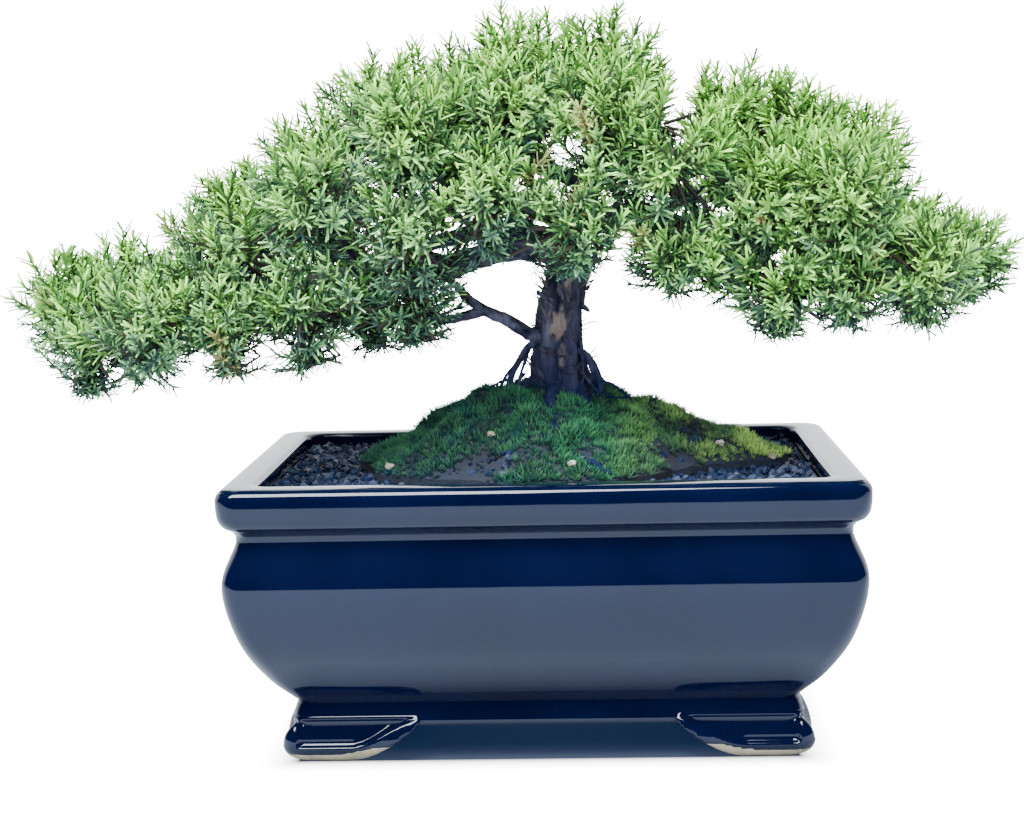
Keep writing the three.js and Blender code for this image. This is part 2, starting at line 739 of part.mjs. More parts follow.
function makePebble([x, y, width, height], index) {
  const layers = [[0.34, 0], [0.5, 0.45], [0.25, 1]];
  const rings = layers.map(([part, level]) => Array.from({ length: PEBBLE_SIDES }, (_, i) => {
    const angle = (i + 0.3 * spread(i + index, PLASTIC_STEP_A)) / PEBBLE_SIDES * FULL_CIRCLE;
    const radius = width * part * (0.9 + 0.2 * spread(3 * i + index, GOLDEN_STEP));
    return vector(x + 1.2 * radius * Math.cos(angle), y + radius * Math.sin(angle), level * height);
  }));
  return geometryFromTriangles(loft(rings));
}

// The height of the ground at a place
function groundHeight(x, y, ground) {
  const caster = new THREE.Raycaster(vector(x, y, 2 * POT_HEIGHT), vector(0, 0, -1));
  return caster.intersectObjects(ground)[0].point.z;
}

// Moves a piece up or down until it lies a gap clear of the ground under it
function layDown(geometry, ground) {
  const samples = trianglesOf(geometry).flatMap((triangle) => {
    const middles = triangle.map((point, i) => point.clone().lerp(triangle[(i + 1) % 3], 0.5));
    return [...triangle, ...middles, centreOf(triangle)];
  });
  const lifts = samples.map((point) => groundHeight(point.x, point.y, ground) - point.z);
  return geometry.translate(0, 0, Math.max(...lifts) + GAP);
}

// A broken end of a twig that lies down the slope
const LOOSE_TWIG = {
  points: [[14.5, -49.5], [17, -50.5], [19.5, -51.5], [22.5, -52.5]],
  radii: [0.8, 1.2, 1.1, 0.7],
};

function makeLooseTwig(ground) {
  const { points, radii } = LOOSE_TWIG;
  const axis = points.map(([x, y], i) => vector(x, y, groundHeight(x, y, ground) + radii[i]));
  return geometryFromTriangles(limbTriangles(axis, radii, 5));
}

// Materials

function material(colour, roughness) {
  return new THREE.MeshStandardMaterial({ color: colour, roughness, metalness: 0 });
}

const glaze = material(0x0b1130, 0.12);
const bark = material(0x2b211d, 0.85);
const soilGrain = material(0x1c1d22, 0.95);
const mossGreen = material(0x4c7a2b, 0.95);
const screenPlastic = material(0x20242a, 0.6);
const paleStone = material(0xcfc6b4, 0.7);
const needleGreens = {
  top: material(0x8fb35a, 0.55),
  front: material(0x6f9d55, 0.55),
  back: material(0x4f8053, 0.6),
};

// The whole plant

const rootSpace = makeRootSpace();
addPart('pot', makePot(), glaze);
addPart('screen_left', makeScreen(-DRAIN_OFFSET), screenPlastic);
addPart('screen_right', makeScreen(DRAIN_OFFSET), screenPlastic);
const ground = [
  addPart('soil', makeSoil(rootSpace), soilGrain),
  addPart('moss', geometryFromSolid(makeMoss().subtract(rootSpace)), mossGreen),
];
addPart('wood', geometryFromSolid(join(wood.map(limbSolid))), bark);
PEBBLES.forEach((pebble, i) => {
  addPart(`pebble_${i + 1}`, layDown(makePebble(pebble, i), ground), paleStone);
});
addPart('loose_twig', layDown(makeLooseTwig(ground), ground), bark);
for (const spray of sprays) {
  addPart(spray.name, makeSpray(spray), needleGreens[spray.row]);
}

// The origin is on the table, under the middle of the whole plant
const box = new THREE.Box3().setFromObject(bonsai);
bonsai.position.set(-(box.min.x + box.max.x) / 2, -(box.min.y + box.max.y) / 2, -box.min.z);

export default bonsai;
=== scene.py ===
import json
import math
import random

import bmesh
import bpy
from mathutils import Matrix, Vector, noise

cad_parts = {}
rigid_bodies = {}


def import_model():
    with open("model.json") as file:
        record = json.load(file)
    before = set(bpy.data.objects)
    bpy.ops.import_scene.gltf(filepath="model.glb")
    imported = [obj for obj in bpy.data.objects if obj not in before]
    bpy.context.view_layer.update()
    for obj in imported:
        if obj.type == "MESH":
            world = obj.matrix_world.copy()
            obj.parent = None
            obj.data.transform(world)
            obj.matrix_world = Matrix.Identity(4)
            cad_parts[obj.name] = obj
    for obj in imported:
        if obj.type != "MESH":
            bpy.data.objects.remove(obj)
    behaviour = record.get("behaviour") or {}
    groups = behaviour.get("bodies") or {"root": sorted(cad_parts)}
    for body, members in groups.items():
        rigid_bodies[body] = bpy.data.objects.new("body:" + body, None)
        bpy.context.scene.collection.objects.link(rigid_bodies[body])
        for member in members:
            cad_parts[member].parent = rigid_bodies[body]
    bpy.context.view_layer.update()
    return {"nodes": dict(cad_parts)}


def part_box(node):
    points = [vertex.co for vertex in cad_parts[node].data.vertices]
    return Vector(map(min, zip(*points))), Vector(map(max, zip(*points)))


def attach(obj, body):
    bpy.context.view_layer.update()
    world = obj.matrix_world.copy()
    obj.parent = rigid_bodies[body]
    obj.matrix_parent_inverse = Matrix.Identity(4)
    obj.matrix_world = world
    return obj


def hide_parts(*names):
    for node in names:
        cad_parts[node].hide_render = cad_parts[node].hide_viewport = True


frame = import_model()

bl_info = {
    "name": "Juniper Bonsai",
    "version": (1, 0, 0),
    "blender": (4, 5, 0),
    "location": "View3D > Sidebar > Bonsai",
    "description": "Dresses a juniper bonsai in a glazed footed pot",
    "category": "Object",
}

# Metres here; the lists of points are millimetres from the pot's middle, front towards -Y
MM = 0.001
POT_LOW, POT_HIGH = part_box("pot")
MIDDLE = (POT_LOW + POT_HIGH) / 2
UP = Vector((0, 0, 1))


def place(x, y, z):
    return Vector((MIDDLE.x + x * MM, MIDDLE.y + y * MM, z * MM))


def srgb(red, green, blue):
    """A colour given as a paint chip from 0 to 255, as linear light."""
    values = [channel / 255 for channel in (red, green, blue)]
    linear = [v / 12.92 if v <= 0.04045 else ((v + 0.055) / 1.055) ** 2.4 for v in values]
    return (*linear, 1.0)


# Sizes of the wood, as in the part's source
TRUNK = [
    ((6, 0, 78), 9), ((6, 0, 100), 15), ((6, 0, 108), 15), ((5.5, 0, 115), 12.4), ((5, 0, 122), 10.4),
    ((5, 0, 133), 8.9), ((6, 0, 144), 7.9), ((8, 1, 154), 7), ((10, 2, 164), 6.2), ((13, 3, 175), 5.4),
    ((16, 3, 187), 4.4), ((19, 3, 199), 3.4), ((20, 3, 211), 2.4),
]
LIMBS = [
    ([(9, 2, 163), (-8, -2, 166), (-24, -9, 163), (-42, -15, 158), (-62, -18, 152), (-82, -22, 148),
      (-101, -27, 145), (-117, -30, 142), (-132, -30, 136), (-145, -27, 131)], 4.6, 1.7),
    ([(13, 3, 175), (33, 0, 174), (50, -8, 167), (66, -16, 157), (84, -20, 152), (103, -24, 151),
      (122, -20, 152), (135, -14, 154)], 4.2, 1.6),
    ([(17, 3, 190), (37, 2, 194), (56, 2, 197), (76, 1, 194), (95, -1, 187), (113, 0, 178)], 3.2, 1.5),
    ([(16, 3, 187), (-4, 2, 195), (-25, 2, 198), (-45, 4, 203)], 3, 1.5),
    ([(13, 3, 174), (-12, 4, 182), (-38, 2, 182), (-64, -2, 179), (-90, -2, 170), (-114, 0, 160),
      (-134, 2, 149)], 3.6, 1.5),
    ([(10, 2, 166), (-10, 16, 172), (-34, 27, 169), (-60, 31, 160), (-90, 32, 153), (-116, 28, 146)],
     3.6, 1.5),
    ([(13, 3, 174), (30, 16, 177), (54, 27, 172), (82, 29, 165), (108, 26, 160)], 3.4, 1.5),
    ([(5, -2, 132), (-4, -4, 136), (-12, -7, 141.5), (-20, -10, 145.5), (-26, -10, 150),
      (-31, -12, 156)], 2.8, 1.3),
    ([(-19, -10, 145.5), (-28, -12, 143.4), (-38, -15, 142), (-48, -18, 141)], 1.9, 1.3),
]
ARCHED_ROOTS = [
    ([(8, -3, 132), (13.5, -5, 129.5), (17.5, -6, 124.5), (19.5, -7, 117), (20.5, -8, 105)], 1.7, 1.3),
    ([(1, -4, 135), (-4.5, -6, 132.5), (-8.5, -7, 127.5), (-12, -8, 120), (-14, -8, 107)], 1.4, 1.1),
]
# Hair-thin rootlets that only show against the light
ROOTLETS = [
    ([(12.5, -5, 133), (13.6, -6, 126), (13.2, -6, 118)], 0.8, 0.4),
    ([(15.5, -6, 127), (17.5, -8, 119), (15.5, -9, 111)], 0.7, 0.4),
    ([(18, -7, 121), (25, -9, 118), (30, -11, 113.5)], 0.6, 0.3),
    ([(19, -7, 116), (24, -10, 114.5), (29, -12, 114.5)], 0.6, 0.35),
    ([(14, -8, 122), (17.5, -9, 117.5), (22, -10, 112)], 0.6, 0.35),
    ([(-5, -6, 131), (-8.5, -9, 121), (-10, -11, 112)], 0.7, 0.4),
    ([(-8, -6, 128), (-13, -8, 122.5), (-16.5, -9, 115)], 0.7, 0.4),
    ([(-6.5, -6, 123), (-10.5, -9, 119.5), (-13.5, -11, 117)], 0.6, 0.35),
    ([(-12, -8, 121), (-15, -9, 120.5), (-18.5, -10, 118.5)], 0.6, 0.3),
]
# Dead stubs left by pruning: where each leaves the wood, and its end
STUBS = [
    ([(13, -2, 146), (15.4, -3, 144.6), (16, -3, 143.6)], 1.3, 0.6),
    ([(3, -3, 148.5), (-0.6, -4, 150), (-1.8, -4, 151.6)], 1.3, 0.5),
    ([(66, -16, 157), (68, -20, 149), (69.5, -22, 145.5)], 2.3, 1.9),
    ([(-70, -19, 150), (-73, -24, 146), (-75, -26, 143.5)], 1.8, 1.3),
]
ROOT_COUNT = 6
ROOT_REACH = 31
ROOT_RISES = (3, -0.6, -2.2, -7)
ROOT_RADII = (3.6, 1.5)
BRANCHLET_RADII = (1.5, 1.25, 1.0)
GOLDEN_STEP = 0.6180339887
PLASTIC_STEP_A = 0.7548776662
PLASTIC_STEP_B = 0.5698402910

# Hub of each spray cluster and how far its tips reach, as in the part's source
SPRAYS = {
    "top": [
        (-164, -12, 149, 20), (-145, 4, 156, 20), (-104, 0, 178, 21), (-80, 2, 192, 23), (-55, 8, 214, 23),
        (-28, 10, 210, 23), (-8, -2, 224, 24), (23, 2, 225, 24), (41, -2, 207, 23), (67, 3, 208, 24),
        (87, -6, 202, 23), (109, -4, 194, 20), (124, 6, 167, 20), (145, -8, 159, 19),
    ],
    "front": [
        (-150, -40, 137, 20), (-127, -50, 142, 24), (-102, -48, 142, 20), (-101, -34, 166, 25),
        (-78, -44, 146, 22), (-70, -44, 184, 25), (-42, -44, 202, 25), (-40, -46, 172, 25),
        (-16, -48, 184, 25), (-8, -34, 208, 25), (20, -38, 208, 25), (10, -44, 174, 22),
        (44, -46, 192, 25), (45, -44, 165, 21), (72, -42, 182, 25), (98, -50, 180, 24),
        (78, -44, 152, 19), (100, -46, 154, 19), (124, -42, 156, 22), (-42, -30, 149, 18),
    ],
    "back": [
        (-144, 36, 140, 25), (-116, 54, 154, 25), (-82, 58, 168, 25), (-50, 56, 196, 25),
        (-12, 54, 210, 25), (28, 54, 208, 25), (64, 54, 194, 25), (100, 50, 178, 25), (130, 38, 158, 25),
        (-66, 54, 142, 22), (70, 50, 163, 25),
    ],
}

# The pot's sizes, as in the part's source. The feet stand a little steeper than there, and the band under
# the belly flares
POT_WIDTH = 209
POT_DEPTH = 154
POT_HEIGHT = 94
RIM_BAND = 10
RIM_TOP_WIDTH = 12
RIM_ROUND = 3.5
INNER_ROUND = 2
GROOVE_INSET = 5.4
GROOVE_HEIGHT = 76
NECK_INSET = 22
UNDERSIDE_HEIGHT = 12
FLOOR_HEIGHT = 24
CORNER_RADIUS = 7
FOOT_THICKNESS = 17
ARCH_TOP = 17.6
POCKET_TOP = 21
FRONT_ARCH = (64, 42)
SIDE_ARCH = (40, 26)
# Inset and height of the feet's outer face, of the belly from neck to groove, and of the rim's underside
FOOT_FLARE = [
    (22, 0), (18, 2), (16.4, 5.5), (16.5, 9), (17.9, 12.5), (20.2, 15.6), (NECK_INSET - 0.1, 17.6),
    (NECK_INSET + 2, 20),
]
BELLY = [(NECK_INSET - 0.5, 19.8), (12.8, 29.5), (4.9, 43.5), (0.9, 62), (GROOVE_INSET, GROOVE_HEIGHT)]
RIM_UNDERSIDE = [
    (GROOVE_INSET - 0.1, GROOVE_HEIGHT + 2.3), (4.1, POT_HEIGHT - RIM_BAND - 4.1),
    (1.9, POT_HEIGHT - RIM_BAND - 2.6), (0.5, POT_HEIGHT - RIM_BAND), (0, POT_HEIGHT - RIM_BAND + 3.5),
]
# The dark band that the belly stands on and that flares outwards: how far out of the neck, and how far up
FOOT_BAND = [(1.7, 0.2), (2.2, 1.0), (2.1, 2.0), (1.6, 4.8), (1.0, 6.8)]
DRAIN_OFFSET = 36
DRAIN_RADIUS = 7
DRAIN_STEPS = 24
SHARP_ANGLE = 50

# The moss cushion, as in the part's source
SOIL_HEIGHT = 89.5
GAP = 0.3
MOSS_CENTRE = (5.5, 0)
MOSS_HEIGHT = 27
MOSS_EDGE_HEIGHT = 2.4
MOSS_SHOULDER = {"x": -24, "width": 15, "depth": 22, "height": 5}
MOSS_CLUMP_HEIGHT = 2.1
MOSS_REACH = (78, 62, 50, 50, 54, 62, 70, 66, 58, 59, 53, 50)


# Settings that a user would change

class FoliageSettings(bpy.types.PropertyGroup):
    needle_length: bpy.props.FloatProperty(
        name="Needle Length", description="Length of a full-grown needle", default=6.6 * MM,
        min=2 * MM, max=15 * MM, unit="LENGTH", subtype="DISTANCE", precision=5)
    needle_width: bpy.props.FloatProperty(
        name="Needle Width", description="Widest part of a needle", default=1.02 * MM,
        min=0.3 * MM, max=3 * MM, unit="LENGTH", subtype="DISTANCE", precision=5)
    whorl_spacing: bpy.props.FloatProperty(
        name="Whorl Spacing", description="Distance along a shoot from one ring of needles to the next",
        default=1.75 * MM, min=0.8 * MM, max=5 * MM, unit="LENGTH", subtype="DISTANCE", precision=5)
    shoots: bpy.props.IntProperty(
        name="Shoots", description="Leafy shoots in each spray", default=56, min=8, max=90)
    tip_colour: bpy.props.FloatVectorProperty(
        name="Tip Colour", description="Fresh growth at the shoot tips", subtype="COLOR", size=4,
        default=srgb(122, 200, 66), min=0, max=1)
    leaf_colour: bpy.props.FloatVectorProperty(
        name="Leaf Colour", description="Sunlit older needles", subtype="COLOR", size=4,
        default=srgb(78, 134, 88), min=0, max=1)
    shade_colour: bpy.props.FloatVectorProperty(
        name="Shade Colour", description="Blue-green needles low and deep in the crown", subtype="COLOR",
        size=4, default=srgb(48, 78, 74), min=0, max=1)
    seed: bpy.props.IntProperty(name="Seed", description="Draw of the shoots", default=11, min=0)


class WoodSettings(bpy.types.PropertyGroup):
    bark_depth: bpy.props.FloatProperty(
        name="Bark Depth", description="How far the trunk's bark ridges stand out", default=1.5 * MM,
        min=0, max=5 * MM, unit="LENGTH", subtype="DISTANCE", precision=5)
    flakes: bpy.props.IntProperty(
        name="Flakes", description="Loose bark flakes for each square centimetre of trunk", default=8,
        min=0, max=20)
    bark_colour: bpy.props.FloatVectorProperty(
        name="Bark Colour", description="Weathered dark bark", subtype="COLOR", size=4,
        default=srgb(40, 40, 56), min=0, max=1)
    fresh_colour: bpy.props.FloatVectorProperty(
        name="Peeled Colour", description="Tan wood where the bark has peeled", subtype="COLOR", size=4,
        default=srgb(112, 98, 90), min=0, max=1)


class PotSettings(bpy.types.PropertyGroup):
    glaze_colour: bpy.props.FloatVectorProperty(
        name="Glaze Colour", description="Blue-black glaze", subtype="COLOR", size=4,
        default=srgb(1, 4, 24), min=0, max=1)
    clay_colour: bpy.props.FloatVectorProperty(
        name="Clay Colour", description="Bare clay under the feet", subtype="COLOR", size=4,
        default=srgb(148, 138, 112), min=0, max=1)
    glaze_roughness: bpy.props.FloatProperty(
        name="Glaze Roughness", description="Gloss of the glaze", default=0.06, min=0, max=1,
        subtype="FACTOR")


class GroundSettings(bpy.types.PropertyGroup):
    blade_length: bpy.props.FloatProperty(
        name="Blade Length", description="Length of a moss blade", default=2.9 * MM, min=1 * MM,
        max=12 * MM, unit="LENGTH", subtype="DISTANCE", precision=5)
    tufts: bpy.props.IntProperty(
        name="Tufts", description="Moss tufts on the whole cushion", default=5300, min=100, max=8000)
    grains: bpy.props.IntProperty(
        name="Grains", description="Soil grains that show", default=2400, min=100, max=4000)
    moss_colour: bpy.props.FloatVectorProperty(
        name="Moss Colour", description="Bright tips of the moss", subtype="COLOR", size=4,
        default=srgb(188, 226, 112), min=0, max=1)
    soil_colour: bpy.props.FloatVectorProperty(
        name="Soil Colour", description="Damp dark soil", subtype="COLOR", size=4,
        default=srgb(15, 32, 62), min=0, max=1)


class StageSettings(bpy.types.PropertyGroup):
    lens: bpy.props.FloatProperty(
        name="Lens", description="Focal length of the camera on a 36 mm wide sensor", default=71.96,
        min=10, max=300, subtype="DISTANCE_CAMERA", unit="CAMERA")
    floor_colour: bpy.props.FloatVectorProperty(
        name="Floor Colour", description="Pale seamless floor", subtype="COLOR", size=4,
        default=(0.51, 0.57, 0.67, 1), min=0, max=1)
    shadow_width: bpy.props.FloatProperty(
        name="Shadow Width", description="How far the shadow shows round the pot's foot", default=0.016,
        min=0.001, max=1, unit="LENGTH", subtype="DISTANCE")


# Small tools for node trees

class Wiring:
    """Adds nodes to a tree, sets their values and links them."""

    def __init__(self, tree):
        self.tree = tree

    def feed(self, node, inputs):
        for key, value in inputs.items():
            if isinstance(value, bpy.types.NodeSocket):
                self.tree.links.new(value, node.inputs[key])
            else:
                node.inputs[key].default_value = value

    def add(self, kind, inputs=None, **settings):
        """The outputs of a new node."""
        node = self.tree.nodes.new(kind)
        for key, value in settings.items():
            setattr(node, key, value)
        self.feed(node, inputs or {})
        return node.outputs

    def math(self, operation, *values, clamp=False):
        return self.add("ShaderNodeMath", dict(enumerate(values)), operation=operation, use_clamp=clamp)[0]

    def times(self, *values):
        return self.math("MULTIPLY", *values)

    def vector(self, operation, *values):
        outputs = self.add("ShaderNodeVectorMath", dict(enumerate(values)), operation=operation)
        return outputs["Value" if operation == "LENGTH" else "Vector"]

    def split(self, vector):
        return self.add("ShaderNodeSeparateXYZ", {0: vector})

    def mix(self, factor, first, second, blend="MIX"):
        """A colour between two others."""
        inputs = {0: factor, 6: first, 7: second}
        return self.add("ShaderNodeMix", inputs, data_type="RGBA", blend_type=blend)[2]

    def blend(self, factor, first, second):
        """A number between two others."""
        return self.add("ShaderNodeMix", {0: factor, 2: first, 3: second}, data_type="FLOAT")[0]

    def span(self, value, low, high, start=0.0, end=1.0, smooth=False):
        inputs = {0: value, 1: low, 2: high, 3: start, 4: end}
        kind = "SMOOTHSTEP" if smooth else "LINEAR"
        return self.add("ShaderNodeMapRange", inputs, interpolation_type=kind)[0]

    def noise(self, vector, scale, detail=3.0, roughness=0.55):
        inputs = {"Vector": vector, "Scale": scale, "Detail": detail, "Roughness": roughness}
        return self.add("ShaderNodeTexNoise", inputs)[0]

    def attribute(self, name):
        return self.add("ShaderNodeAttribute", attribute_name=name)["Fac"]

    def bump(self, height, distance, strength=1.0, **more):
        inputs = {"Height": height, "Distance": distance, "Strength": strength}
        return self.add("ShaderNodeBump", {**inputs, **more})[0]


class Growing(Wiring):
    """Wiring of a geometry tree."""

    def named(self, name, kind="FLOAT"):
        return self.add("GeometryNodeInputNamedAttribute", {"Name": name}, data_type=kind)[0]

    def store(self, geometry, name, value, kind="FLOAT"):
        inputs = {"Geometry": geometry, "Name": name, "Value": value}
        return self.add("GeometryNodeStoreNamedAttribute", inputs, data_type=kind, domain="POINT")[0]

    def draw(self, low, high, seed):
        """A random number or vector for each point."""
        if isinstance(low, tuple):
            inputs = {0: low, 1: high, "Seed": seed}
            return self.add("FunctionNodeRandomValue", inputs, data_type="FLOAT_VECTOR")[0]
        return self.add("FunctionNodeRandomValue", {2: low, 3: high, "Seed": seed}, data_type="FLOAT")[1]

    def compare(self, value, operation, limit):
        inputs = {0: value, 1: limit}
        return self.add("FunctionNodeCompare", inputs, operation=operation, data_type="FLOAT")[0]

    def turned(self, angles, first=None):
        """A rotation by three angles, after another one if it is given."""
        local = self.add("FunctionNodeEulerToRotation", {0: angles})[0]
        if first is None:
            return local
        inputs = {"Rotation": first, "Rotate By": local}
        return self.add("FunctionNodeRotateRotation", inputs, rotation_space="LOCAL")[0]

    def aligned(self, vector, axis, first=None, **settings):
        """A rotation that turns the axis towards the vector, after another one if it is given."""
        inputs = {"Vector": vector} if first is None else {"Vector": vector, "Rotation": first}
        return self.add("FunctionNodeAlignRotationToVector", inputs, axis=axis, **settings)[0]

    def shape(self, chosen):
        return self.add("GeometryNodeObjectInfo", {"Object": chosen})["Geometry"]

    def tube(self, curve, sides):
        """A tube along the curve, as wide as its points say."""
        profile = self.add("GeometryNodeCurvePrimitiveCircle", {"Resolution": sides, "Radius": 1.0})[0]
        return self.add("GeometryNodeCurveToMesh", {
            "Curve": curve, "Profile Curve": profile, "Scale": self.named("width"), "Fill Caps": True})[0]

    def stepped(self, curve, step):
        return self.add("GeometryNodeResampleCurve", {"Curve": curve, "Length": step}, mode="LENGTH")[0]

    def scatter(self, points, shape, rotation, scale, material, **more):
        """Real copies of a shape on the points, in one material."""
        copies = self.add("GeometryNodeInstanceOnPoints", {
            "Points": points, "Instance": shape, "Rotation": rotation, "Scale": scale, **more})[0]
        return self.paint(self.add("GeometryNodeRealizeInstances", {"Geometry": copies})[0], material)

    def paint(self, geometry, material):
        return self.add("GeometryNodeSetMaterial", {"Geometry": geometry, "Material": material})[0]

    def finish(self, *parts):
        """Gives the parts out together."""
        if len(parts) > 1:
            both = self.tree.nodes.new("GeometryNodeJoinGeometry")
            for part in parts:
                self.tree.links.new(part, both.inputs[0])
            parts = both.outputs
        self.add("NodeGroupOutput", {"Geometry": parts[0]})
        return self.tree


def new_material(name):
    """A material with its Principled shader, and its wiring."""
    material = bpy.data.materials.new(name)
    material.use_nodes = True
    wiring = Wiring(material.node_tree)
    return material, wiring, material.node_tree.nodes["Principled BSDF"]


def object_coordinates(wiring, scale=(1, 1, 1)):
    """Object coordinates with the pattern's middle under the pot's middle."""
    return wiring.add("ShaderNodeMapping", {
        "Vector": wiring.add("ShaderNodeTexCoord")["Object"],
        "Location": (-MIDDLE.x * scale[0], -MIDDLE.y * scale[1], 0),
        "Scale": scale,
    })["Vector"]


def mottle_group():
    """Shader group: blotches at two scales as a mask and a height, for the clay, bark, soil and moss."""
    if "Mottle" in bpy.data.node_groups:
        return bpy.data.node_groups["Mottle"]
    tree = bpy.data.node_groups.new("Mottle", "ShaderNodeTree")
    tree.interface.new_socket("Vector", in_out="INPUT", socket_type="NodeSocketVector")
    for label, value in (("Blotch Scale", 40.0), ("Speck Scale", 600.0), ("Contrast", 0.5)):
        tree.interface.new_socket(label, in_out="INPUT", socket_type="NodeSocketFloat").default_value = value
    for label in ("Mask", "Height"):
        tree.interface.new_socket(label, in_out="OUTPUT", socket_type="NodeSocketFloat")
    wiring = Wiring(tree)
    given = wiring.add("NodeGroupInput")
    blotch = wiring.noise(given["Vector"], given["Blotch Scale"])
    speck = wiring.noise(given["Vector"], given["Speck Scale"], detail=2.0)
    low = wiring.times(given["Contrast"], 0.5)
    mask = wiring.span(blotch, low, wiring.math("SUBTRACT", 1.0, low), smooth=True)
    height = wiring.math("ADD", wiring.times(blotch, 0.6), wiring.times(speck, 0.4))
    wiring.add("NodeGroupOutput", {"Mask": mask, "Height": height})
    return tree


def mottle(wiring, vector, blotch_scale, speck_scale, contrast=0.5):
    outputs = wiring.add("ShaderNodeGroup", {
        "Vector": vector, "Blotch Scale": blotch_scale, "Speck Scale": speck_scale, "Contrast": contrast,
    }, node_tree=mottle_group())
    return outputs["Mask"], outputs["Height"]


def finish_shader(wiring, shader, colour, roughness, normal=None, specular=0.5):
    wiring.feed(shader, {"Base Color": colour, "Roughness": roughness, "Specular IOR Level": specular})
    if normal is not None:
        wiring.feed(shader, {"Normal": normal})


# Finishes. Colours that aren't settings, as paint chips
# Two of the bark colours are painted shade: the near-black in the bark's furrows, and the dark navy on the
# lower trunk
BARK = {"grey": srgb(86, 86, 100), "furrow shade": srgb(6, 14, 30), "red": srgb(56, 44, 40), "painted low shade": srgb(1, 14, 48)}
# The needles' sunlit and shaded bands and gaps are lit and shaded copies of one colour: painted light and
# shade
NEEDLE = {
    "bluer": srgb(58, 112, 90), "tip": srgb(160, 238, 82), "shaded band": srgb(164, 206, 164),
    "sunlit band": srgb(184, 252, 104), "shaded gap": srgb(3, 26, 34), "sunlit gap": srgb(4, 36, 12),
    "dry": srgb(150, 130, 84), "old stem": srgb(52, 40, 30), "young stem": srgb(84, 100, 44),
    "dark stem": srgb(38, 36, 26),
}
# The moss's left colour is painted shade on the cushion's left slope
MOSS = {
    "mat": srgb(6, 12, 26), "foot": srgb(2, 18, 36), "left": srgb(12, 68, 72), "middle": srgb(32, 102, 70),
    "blotch": srgb(6, 42, 52), "fresh": srgb(88, 148, 70), "bare": srgb(8, 18, 30),
}
SOIL = {"dark": srgb(0, 7, 30), "grey grain": srgb(70, 80, 96)}
# How much the bark's pattern is drawn out along the trunk, and between which heights the painted shade on the
# lower trunk fades out
FIBRE_STRETCH = 0.16
PAINTED_SHADE_HEIGHTS = (112, 142)


def glaze_material(settings):
    material, wiring, shader = new_material("blue_black_glaze")
    spot = object_coordinates(wiring)
    facing = wiring.split(wiring.add("ShaderNodeNewGeometry")["Normal"])["Z"]
    ragged = wiring.math("ADD", wiring.attribute("sole"), wiring.noise(spot, 260.0))
    sole = wiring.span(ragged, 0.94, 1.02, smooth=True)
    under = wiring.times(wiring.span(facing, -0.75, -0.9), wiring.span(wiring.split(spot)["Z"], 0.016, 0.013))
    clay = wiring.math("MAXIMUM", sole, under)
    lighter = [min(1.0, channel * 1.25 + 0.0005) for channel in settings.glaze_colour[:3]]
    glaze = wiring.mix(mottle(wiring, spot, 26.0, 900.0, 0.7)[0], settings.glaze_colour[:], (*lighter, 1.0))
    clay_mask, clay_grain = mottle(wiring, spot, 120.0, 1500.0, 0.6)
    dirty = [channel * 0.62 for channel in settings.clay_colour[:3]]
    bare = wiring.mix(clay_mask, (*dirty, 1.0), settings.clay_colour[:])
    waves = wiring.bump(wiring.noise(spot, 55.0, detail=1.5), 0.22 * MM, 0.35)
    pores = wiring.bump(clay_grain, 0.3 * MM, clay, Normal=waves)
    roughness = wiring.span(clay, 0.0, 1.0, settings.glaze_roughness, 0.85)
    finish_shader(wiring, shader, wiring.mix(clay, glaze, bare), roughness, pores)
    wiring.feed(shader, {"IOR": 1.38, "Specular Tint": (0.88, 0.94, 1.0, 1.0)})
    return material


def bark_material(settings):
    material, wiring, shader = new_material("shredding_bark")
    spot = object_coordinates(wiring)
    mask, height = mottle(wiring, object_coordinates(wiring, (1, 1, FIBRE_STRETCH)), 160.0, 900.0, 0.6)
    colour = wiring.mix(mask, settings.bark_colour[:], BARK["grey"])
    # Painted shade: the bark darkens to near-black in its furrows
    colour = wiring.mix(wiring.span(wiring.attribute("ridge"), 0.38, 0.6), BARK["furrow shade"], colour)
    redder = wiring.span(wiring.noise(spot, 75.0, detail=2.0), 0.45, 0.65, 0.0, 0.7)
    colour = wiring.mix(redder, colour, BARK["red"])
    peeled = wiring.times(wiring.attribute("peeled"), wiring.span(height, 0.36, 0.5))
    colour = wiring.mix(peeled, colour, settings.fresh_colour[:])
    # Painted shade on the lower trunk: dark navy below the first height, fading out by the second
    dry = wiring.span(wiring.split(spot)["Z"], *(height * MM for height in PAINTED_SHADE_HEIGHTS))
    colour = wiring.mix(dry, wiring.mix(0.97, colour, BARK["painted low shade"]), colour)
    finish_shader(wiring, shader, colour, 0.82, wiring.bump(height, 0.9 * MM, 0.8), specular=0.12)
    return material


